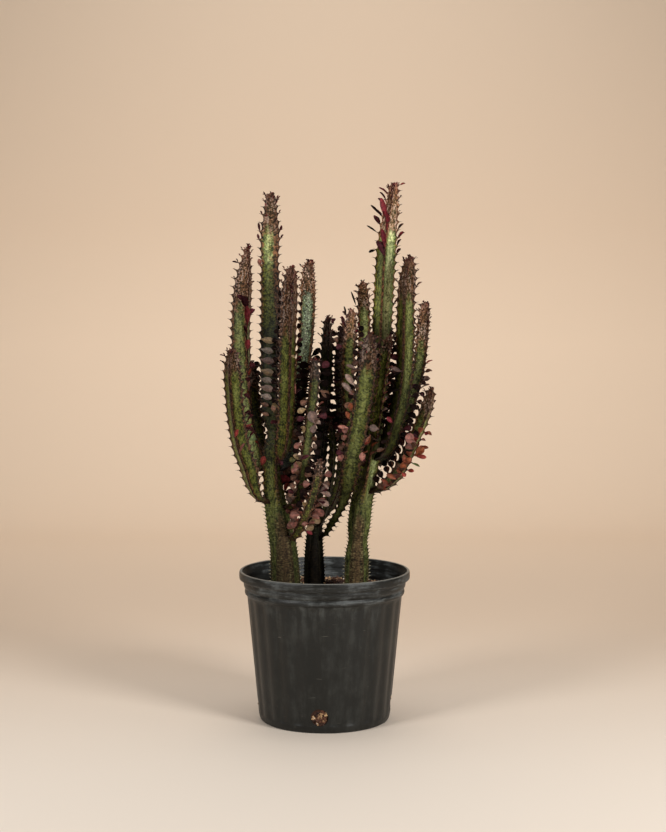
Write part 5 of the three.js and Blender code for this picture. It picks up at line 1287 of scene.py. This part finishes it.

# Older leaves that stand or hang by themselves, each on the nearest tooth of its stem: the middle
# of its blade (x and z), the blade's length and width, the way it points from its foot, in degrees
# from +X towards +Z, and its colour. Those coloured "shadow", most of them stacked along the middle
# trunk and the left back arm, are near-black sheets in the shade between the stems: painted shadow.
SINGLE_LEAVES = {
    "left_trunk": [(-85, 599, 17, 5, 160, "sage"), (-80, 584, 12, 6, 80, "rose"),
        (-73, 479, 11, 10, 170, "tan"), (-72, 471, 9, 7, 170, "tan"),
        (-73, 455, 15, 7, 175, "wine"), (-77, 421, 19, 11, 340, "tan"),
        (-63, 398, 12, 6, 280, "wine"), (-97, 746, 12, 4, 100, "wine"),
        (-99, 731, 9, 4, 95, "wine"), (-65, 743, 10, 4, 70, "wine"), (-63, 730, 10, 3, 65, "wine"),
        (-94, 696, 9, 7, 150, "rose"), (-83, 700, 6, 3, 90, "wine"), (-89, 795, 7, 2, 120, "wine"),
        (-70, 790, 6, 2, 60, "wine"), (-91, 397, 13, 9, 80, "red"),
        (-58, 370, 8, 18, 90, "crimson"), (-55, 358, 9, 7, 100, "red")],
    "middle_trunk": [(-19, 421, 14, 8, 170, "shadow"), (-19, 409, 14, 8, 178, "shadow"),
        (-18, 400, 14, 8, 186, "shadow"), (-18, 388, 14, 8, 170, "shadow"),
        (-18, 377, 14, 8, 178, "shadow"), (-18, 365, 14, 8, 186, "shadow"),
        (-17, 353, 14, 8, 170, "shadow"), (-17, 342, 14, 8, 178, "shadow"),
        (-17, 330, 14, 8, 186, "shadow"), (-16, 319, 14, 8, 170, "shadow"),
        (-16, 525, 12, 6, 165, "shadow"), (-16, 513, 12, 6, 173, "shadow"),
        (-15, 501, 12, 6, 181, "shadow"), (-15, 489, 12, 6, 165, "shadow"),
        (-15, 476, 12, 6, 173, "shadow"), (-15, 464, 12, 6, 181, "shadow"),
        (-14, 452, 12, 6, 165, "shadow"), (-14, 441, 12, 6, 173, "shadow"),
        (8, 491, 11, 6, 20, "shadow"), (8, 478, 11, 6, 14, "shadow"), (8, 464, 11, 6, 8, "shadow"),
        (8, 450, 11, 6, 20, "shadow"), (8, 436, 11, 6, 14, "shadow"), (8, 423, 11, 6, 8, "shadow"),
        (8, 407, 11, 6, 20, "shadow")],
    "right_trunk": [(101, 478, 17, 5, 85, "crimson"), (99, 818, 10, 4, 100, "red"),
        (117, 811, 8, 3, 5, "red"), (96, 809, 5, 3, 120, "wine"), (87, 773, 33, 9, 101, "crimson"),
        (87, 728, 31, 8, 97, "crimson"), (75, 772, 20, 4, 125, "shadow"),
        (78, 760, 12, 5, 130, "wine"), (71, 743, 20, 3, 140, "shadow"),
        (72, 708, 11, 5, 170, "shadow"), (117, 732, 17, 5, 80, "crimson")],
    "left_arm_low_outer": [(-129, 443, 9, 6, 60, "red"), (-119, 420, 13, 5, 80, "rose")],
    "left_arm_back_outer": [(-127, 450, 8, 6, 30, "wine"), (-114, 400, 9, 6, 60, "brown"),
        (-119, 616, 27, 9, 86, "crimson"), (-117, 569, 18, 9, 84, "crimson"),
        (-124, 635, 17, 11, 95, "wine"), (-129, 641, 11, 8, 140, "wine"),
        (-139, 693, 8, 3, 125, "wine"), (-123, 593, 12, 6, 90, "wine")],
    "left_arm_shaded": [(-94, 483, 17, 11, 10, "brown"), (-94, 471, 17, 11, 5, "brown"),
        (-91, 458, 15, 11, 10, "brown"), (-96, 497, 14, 6, 15, "brown"),
        (-116, 493, 25, 7, 80, "rust"), (-109, 511, 13, 4, 120, "rose"),
        (-100, 503, 9, 7, 30, "rose"), (-111, 529, 12, 5, 85, "rust"),
        (-107, 539, 9, 8, 60, "wine"), (-111, 450, 15, 7, 50, "red"),
        (-119, 445, 9, 7, 200, "red"), (-107, 435, 17, 12, 170, "green"),
        (-104, 422, 15, 10, 70, "red")],
    "left_arm_front": [(-52, 433, 12, 10, 170, "rose"), (-42, 439, 13, 11, 60, "mauve"),
        (-46, 425, 10, 6, 180, "brown"), (-47, 411, 10, 9, 150, "tan"),
        (-51, 553, 16, 4, 0, "tan"), (-47, 521, 18, 3, 110, "rose"),
        (-42, 508, 12, 3, 100, "rose"), (-43, 470, 12, 5, 175, "rose"),
        (-38, 459, 5, 9, 90, "brown")],
    "left_arm_back": [(-48, 395, 12, 8, 170, "olive"), (-35, 540, 15, 6, 175, "shadow"),
        (-36, 530, 15, 6, 172, "shadow"), (-36, 522, 15, 6, 169, "shadow"),
        (-37, 513, 15, 6, 175, "shadow"), (-38, 503, 15, 6, 172, "shadow"),
        (-38, 496, 15, 6, 169, "shadow"), (-38, 487, 15, 6, 175, "shadow"),
        (-39, 476, 15, 6, 172, "shadow"), (-40, 467, 15, 6, 169, "shadow"),
        (-40, 460, 15, 6, 175, "shadow"), (-40, 452, 15, 6, 172, "shadow")],
    "left_arm_slim": [(-18, 466, 16, 16, 120, "pale"), (-13, 455, 15, 14, 30, "pale"),
        (-18, 447, 12, 10, 260, "pale"), (-14, 509, 11, 5, 5, "rose"),
        (-14, 419, 10, 10, 60, "mauve"), (-18, 434, 10, 8, 20, "brown"),
        (-36, 395, 15, 12, 150, "rose"), (-38, 382, 13, 12, 190, "pale"),
        (-36, 368, 13, 12, 165, "rose"), (-31, 352, 9, 9, 190, "pale"),
        (-51, 342, 13, 15, 190, "mauve"), (-54, 324, 9, 9, 200, "rose"),
        (-46, 318, 10, 12, 230, "rose"), (-42, 407, 9, 9, 150, "tan"),
        (-45, 384, 9, 15, 170, "olive"), (-27, 407, 10, 6, 20, "wine"),
        (-43, 333, 12, 7, 175, "rose"), (-50, 356, 9, 7, 170, "wine"),
        (-31, 338, 9, 6, 190, "rose")],
    "left_arm_short": [(-46, 308, 10, 10, 250, "rose"), (-40, 293, 10, 9, 210, "red"),
        (0, 362, 13, 5, 350, "pale"), (4, 350, 11, 8, 5, "pale"), (1, 336, 12, 10, 0, "pale"),
        (-5, 323, 10, 11, 330, "rose"), (-9, 312, 8, 10, 310, "tan"),
        (-29, 308, 9, 7, 190, "rose"), (-33, 318, 9, 7, 180, "mauve"),
        (-20, 295, 9, 6, 300, "crimson"), (-4, 346, 9, 4, 10, "rose")],
    "middle_arm_front": [(37, 537, 15, 6, 135, "mauve"), (36, 523, 16, 9, 130, "pale"),
        (32, 510, 18, 9, 135, "pale"), (39, 501, 9, 6, 140, "rose"),
        (38, 481, 12, 8, 95, "orange"), (35, 465, 19, 7, 110, "orange"),
        (28, 449, 18, 6, 160, "salmon"), (32, 434, 9, 6, 150, "rose"),
        (27, 406, 13, 12, 150, "rose"), (52, 408, 12, 10, 60, "salmon"),
        (30, 425, 7, 6, 170, "rose")],
    "middle_arm_right": [(26, 609, 9, 6, 90, "wine")],
    "right_arm_front": [(95, 458, 15, 7, 115, "crimson"), (99, 515, 14, 12, 160, "mauve"),
        (104, 537, 13, 7, 175, "mauve"), (96, 491, 13, 7, 175, "mauve"),
        (102, 503, 9, 4, 190, "shadow"), (105, 526, 10, 4, 185, "shadow"),
        (116, 630, 7, 7, 60, "mauve"), (88, 428, 10, 6, 200, "shadow"),
        (82, 416, 10, 7, 210, "brown"), (98, 440, 9, 6, 200, "wine")],
    "right_arm_outer": [(153, 530, 17, 6, 10, "brown"), (151, 517, 18, 9, 15, "mauve"),
        (118, 437, 14, 11, 200, "rose"), (142, 503, 8, 5, 10, "brown")],
    "right_arm_low_outer": [(128, 434, 16, 16, 170, "salmon"), (145, 412, 13, 12, 40, "orange"),
        (147, 401, 13, 7, 0, "red"), (152, 436, 6, 6, 0, "crimson"), (136, 388, 14, 4, 0, "green"),
        (118, 391, 12, 10, 80, "orange"), (110, 380, 12, 9, 120, "rust"),
        (98, 375, 13, 7, 150, "orange"), (119, 379, 10, 7, 300, "red"),
        (127, 399, 10, 9, 60, "orange"), (119, 403, 10, 7, 100, "rust"),
        (108, 393, 10, 7, 130, "rust"), (153, 416, 7, 6, 0, "rust"), (90, 370, 12, 6, 170, "rust"),
        (139, 424, 9, 7, 100, "rust"), (132, 383, 7, 6, 320, "red")],
    "right_arm_back": [(42, 641, 20, 3, 100, "shadow")],
    "right_arm_left": [(32, 623, 12, 3, 120, "shadow")],
    "right_arm_short": [(75, 448, 18, 11, 175, "mauve"), (79, 433, 16, 13, 200, "pale"),
        (66, 425, 13, 9, 215, "orange"), (60, 445, 7, 6, 190, "brown"),
        (101, 566, 16, 4, 105, "crimson")],
}
for name, singles in SINGLE_LEAVES.items():
    axis = axes[name]
    feet = []
    for k in range(3):
        s = tooth_places[name][k]
        feet.append(axis.at(s)[0] + axis.wing(s, k) * (axis.radius(s) + 1)[:, None])
    feet = np.vstack(feet)
    for i, (x, z, long, broad, way, colour) in enumerate(singles):
        number = 60000 + 200 * len(places) + i
        way = math.radians(way)
        half = np.array([math.cos(way), 0, math.sin(way)]) * long / 2
        away = np.hypot(feet[:, 0] - x + half[0], feet[:, 2] - z + half[2])
        foot = feet[np.argmin(away + 0.06 * feet[:, 1])]
        tip = np.array([x, foot[1] - 3 - 5 * chance(number, 1), z]) + half
        rib = unit(tip - foot)
        front = np.array([0.5 * chance(number, 2) - 0.25, -1, 0.15 + 0.5 * chance(number, 3)])
        wide = unit(np.cross(front, rib))
        size = np.linalg.norm(tip - foot)
        add_leaf(foot, rib, wide, size, broad / size, min(SINGLE_LEAF, SINGLE_LENGTH / size),
                 leaf_colour(colour, number))
# A ladder of leaves folded over the left trunk's front face from its left margin, seen edge to
# edge: the height of each, its length and its colour.
LADDER_LEAVES = [(579, 23, "tan"), (564, 22, "dusty"), (549, 24, "mauve"), (533, 25, "tan"),
                 (520, 22, "dusty"), (508, 24, "mauve"), (496, 21, "dusty"), (484, 15, "brown"),
                 (470, 14, "brown")]
axis = axes["left_trunk"]
s = np.arange(0, axis.length, 1.0)
for number, (z, long, colour) in enumerate(LADDER_LEAVES):
    here = np.array([np.interp(z, axis.at(s)[0][:, 2], s)])
    left, right = axis.wing(here, 2)[0], axis.wing(here, 0)[0]
    reach = axis.radius(here)[0]
    out = unit(left + right)
    foot = axis.at(here)[0][0] + left * (reach - 2) + out * 3
    rib = unit((right - left) * reach + out * 4 - np.array([0, 0, 7 + 3 * chance(number, 5)]))
    wide = unit(np.cross(out + np.array([0, 0, 0.5]), rib))
    add_leaf(foot, rib, wide, long, 0.46, THIN_LEAF, leaf_colour(colour, 90 + number))
# Leaves in the shade between the stems, one on each tooth of a stretch of a wing: mostly near-black
# ones that are painted shadow, filling the gaps where the shade is deep, with a few withered leaves
# of their own colours among them. For each stretch: wing, heights from and to, length, width, the
# way it points seen from above in degrees from +X, how far it rises, and the looks.
SHADOW_AND_WITHERED_LEAVES = {
    "left_trunk": [(1, 285, 392, 16, 12, 0, -25, "thicket_and_shadow"), (1, 300, 378, 26, 15, 15, 5, "mostly_shadow"),
                   (1, 490, 655, 17, 12, -5, 0, "mostly_shadow")],
    "middle_trunk": [(1, 400, 580, 10, 9, 0, -20, "mostly_shadow"), (2, 330, 540, 15, 11, 180, -15, "mostly_shadow"),
                     (1, 402, 462, 20, 13, 0, 0, "mostly_shadow")],
    "right_trunk": [(1, 395, 590, 11, 9, 0, -15, "mostly_shadow")],
    "left_arm_back_outer": [(1, 430, 540, 12, 9, 0, -10, "mostly_shadow")],
    "left_arm_front": [(2, 470, 590, 9, 8, 180, 10, "mostly_shadow"), (1, 470, 600, 9, 8, 0, 10, "mostly_shadow"),
                       (1, 600, 645, 7, 6, 0, 0, "mostly_shadow")],
    "left_arm_back": [(0, 440, 560, 18, 10, 0, -20, "mostly_shadow"), (1, 430, 560, 18, 9, 0, 15, "mostly_shadow")],
    "left_arm_slim": [(1, 345, 548, 15, 11, 0, -10, "mostly_shadow"),
                      (0, 345, 500, 13, 9, 180, -20, "thicket_and_shadow"),
                      (2, 340, 400, 18, 13, 0, -20, "mostly_shadow"), (2, 430, 545, 15, 12, 180, 0, "mostly_shadow")],
    "left_arm_short": [(1, 296, 390, 14, 11, 180, 10, "thicket_and_shadow"),
                       (2, 300, 385, 14, 10, 0, 20, "thicket_and_shadow")],
    "middle_arm_right": [(2, 372, 590, 12, 11, 180, 0, "mostly_shadow"), (1, 405, 620, 14, 12, 0, 0, "mostly_shadow")],
    "middle_arm_front": [(1, 400, 560, 12, 9, 180, -20, "thicket_and_shadow")],
    "right_arm_back": [(1, 470, 590, 11, 10, 180, 10, "mostly_shadow"), (2, 470, 600, 11, 9, 0, 0, "mostly_shadow")],
    "right_arm_left": [(1, 430, 600, 10, 9, 180, 10, "mostly_shadow"), (2, 430, 600, 12, 9, 0, 0, "mostly_shadow")],
    "right_arm_short": [(1, 450, 570, 11, 9, 0, 0, "mostly_shadow"), (2, 450, 570, 11, 9, 180, 0, "mostly_shadow")],
    "right_arm_front": [(1, 430, 520, 12, 9, 0, 0, "mostly_shadow"), (2, 420, 590, 10, 8, 180, 0, "mostly_shadow")],
    "right_arm_outer": [(2, 400, 560, 14, 11, 180, 0, "mostly_shadow"), (1, 430, 530, 9, 8, 0, 0, "mostly_shadow")],
    "right_arm_low_outer": [(0, 352, 446, 12, 10, 170, 40, "thicket_and_shadow"),
                            (2, 352, 430, 12, 10, 180, 60, "mostly_shadow")],
}
for name, stretches in SHADOW_AND_WITHERED_LEAVES.items():
    axis = axes[name]
    for wing_number, low, high, long, broad, aim, rise, look in stretches:
        s = tooth_places[name][wing_number]
        place = axis.at(s)[0]
        feet = place + axis.wing(s, wing_number) * (axis.radius(s) + 0.5)[:, None]
        for i in np.flatnonzero((low <= place[:, 2]) & (place[:, 2] <= high)):
            number = 80000 + 500 * len(places) + i
            way = math.radians(aim + 50 * (chance(number, 1) - 0.5))
            up = math.radians(rise + 60 * (chance(number, 2) - 0.5))
            rib = np.array([math.cos(way) * math.cos(up), math.sin(way) * math.cos(up),
                            math.sin(up)])
            front = np.array([0.8 * chance(number, 3) - 0.4, -1, 0.4])
            size = long * (0.8 + 0.4 * chance(number, 4))
            add_leaf(feet[i], rib, unit(np.cross(front, rib)), size, broad / size, THIN_LEAF,
                     drawn_colour(look, number))

points = new_piece("leaf_places", places, [], leaf_skin)
for key, kind, slot, values in (("turn", "QUATERNION", "value", turns),
                                ("size", "FLOAT_VECTOR", "vector", np.array(scales) * MM),
                                ("leaf_colour", "FLOAT_COLOR", "color", colours)):
    points.data.attributes.new(key, kind, "POINT").data.foreach_set(slot, np.ravel(values))

tree, given, sockets = new_growth("leaves_on_teeth", {
    "One leaf": "NodeSocketObject", "Leaf flesh": "NodeSocketMaterial"})
one = add_node(tree, "GeometryNodeObjectInfo", {"Object": given.outputs["One leaf"]})
turn = add_node(tree, "GeometryNodeInputNamedAttribute", {"Name": "turn"}, data_type="QUATERNION")
size = add_node(tree, "GeometryNodeInputNamedAttribute", {"Name": "size"}, data_type="FLOAT_VECTOR")
leaves = add_node(tree, "GeometryNodeInstanceOnPoints", {
    "Points": given.outputs["Geometry"], "Instance": one.outputs["Geometry"], "Rotation": turn,
    "Scale": size})
leaves = add_node(tree, "GeometryNodeRealizeInstances", {"Geometry": leaves})
leaves = add_node(tree, "GeometryNodeSetMaterial", {"Geometry": leaves,
                                                    "Material": given.outputs["Leaf flesh"]})
add_node(tree, "NodeGroupOutput", {"Geometry": leaves})
leaves = grow("leaves", points, tree, sockets, {"One leaf": one_leaf, "Leaf flesh": leaf_skin})
bpy.data.objects.remove(points)
bpy.data.objects.remove(one_leaf)
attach(leaves, "root")

# ------------------------------------------------------------------------------------ setting
# A matt paper sweep: it lies flat under the pot, then curves up into the wall behind it. Two soft
# boxes stand at the sides, so the middle of the plant falls dark; a third hangs high behind the
# pot and lights the bend of the paper, and a fourth washes the wall.
paper, t = new_material("background_paper_matt_beige")
place = add_node(t, "ShaderNodeTexCoord").outputs["Object"]
fibre = add_node(t, "ShaderNodeTexNoise", {"Vector": place, "Scale": 900.0, "Detail": 2.0})
colour = add_node(t, "ShaderNodeMix", {"Factor": fibre, "A": linear("#dcc5ad"),
                                       "B": linear("#e0c9b1")}, data_type="RGBA")
# Painted light: the paper is made paler on the floor in front of the pot, and lighter on the far
# floor, the bend and the wall, as the lamps light them.
parts = add_node(t, "ShaderNodeSeparateXYZ", {"Vector": place})
back = add_node(t, "ShaderNodeMapRange", {"Value": parts.outputs["Y"], "From Min": -0.5,
                                          "From Max": 0.9}, interpolation_type="SMOOTHSTEP")
colour = add_node(t, "ShaderNodeMix", {"Factor": back, "A": linear("#e9dccd"), "B": colour},
                  data_type="RGBA")
far = add_node(t, "ShaderNodeMapRange", {"Value": parts.outputs["Y"], "From Min": 0.9,
                                         "From Max": 2.0}, interpolation_type="SMOOTHSTEP")
colour = add_node(t, "ShaderNodeMix", {"Factor": far, "A": colour, "B": linear("#edd5bb")},
                  data_type="RGBA")
# Painted shade: the paper's colour darkens towards the top of the wall, where less light reaches it.
high = add_node(t, "ShaderNodeMapRange", {"Value": parts.outputs["Z"], "From Min": 0.50,
                                          "From Max": 1.60, "To Min": 1.0, "To Max": 0.71})
colour = add_node(t, "ShaderNodeVectorMath", {0: colour, "Scale": high}, operation="SCALE")
shader = add_node(t, "ShaderNodeBsdfPrincipled", {"Base Color": colour, "Roughness": 0.9})
add_node(t, "ShaderNodeOutputMaterial", {"Surface": shader})
BEND_START, BEND_RADIUS = 1900.0, 900.0
PAPER_FRONT, PAPER_TOP, PAPER_HALF_WIDTH = -3200, 4500, 3500
profile = [(PAPER_FRONT, 0), (-1000, 0), (0, 0)] + [
    (BEND_START + BEND_RADIUS * math.sin(a), BEND_RADIUS * (1 - math.cos(a)))
    for a in np.linspace(0, math.pi / 2, 40)] + [(BEND_START + BEND_RADIUS, PAPER_TOP)]
vertices = [(x, y, z) for y, z in profile for x in (-PAPER_HALF_WIDTH, PAPER_HALF_WIDTH)]
faces = [(2 * i, 2 * i + 1, 2 * i + 3, 2 * i + 2) for i in range(len(profile) - 1)]
sweep = new_piece("paper_sweep", vertices, faces, paper, sharp_angle=60)


def soft_box(name, place, aim, size, watts):
    """A large square soft light, in metres, turned to what it lights."""
    lamp = bpy.data.lights.new(name, "AREA")
    lamp.shape = "SQUARE"
    lamp.size = size
    lamp.energy = watts
    light = bpy.data.objects.new(name, lamp)
    light.location = place
    light.rotation_euler = (Vector(aim) - Vector(place)).to_track_quat("-Z", "Y").to_euler()
    light.visible_camera = False
    bpy.context.scene.collection.objects.link(light)


soft_box("left_soft_box", (-1.88, -1.74, 1.22), (0, 0.1, 0.4), 0.8, 40)
soft_box("right_soft_box", (1.78, -1.84, 1.18), (0, 0.1, 0.4), 0.8, 59)
soft_box("top_soft_box", (0, 0.4, 2.5), (0, 1.6, 0.5), 1.6, 21)
soft_box("wall_wash", (0, 1.8, 2.6), (0, 2.8, 1.2), 1.6, 16)
world = bpy.data.worlds.new("studio_air")
world.use_nodes = True
world.node_tree.nodes["Background"].inputs["Color"].default_value = linear("#efe8e0")
world.node_tree.nodes["Background"].inputs["Strength"].default_value = 0.09
bpy.context.scene.world = world
bpy.context.scene.view_settings.view_transform = "Standard"

# The camera stands in front, at three quarters of the plant's height, and looks down by 4 degrees.
CAMERA_PLACE = (0.0128, -2.400, 0.6286)
CAMERA_TILT, CAMERA_LENS = 86.036, 68.8
camera = bpy.data.objects.new("camera", bpy.data.cameras.new("camera"))
camera.data.lens = CAMERA_LENS
camera.location = CAMERA_PLACE
camera.rotation_euler = (math.radians(CAMERA_TILT), 0, 0)
bpy.context.scene.collection.objects.link(camera)
bpy.context.scene.camera = camera
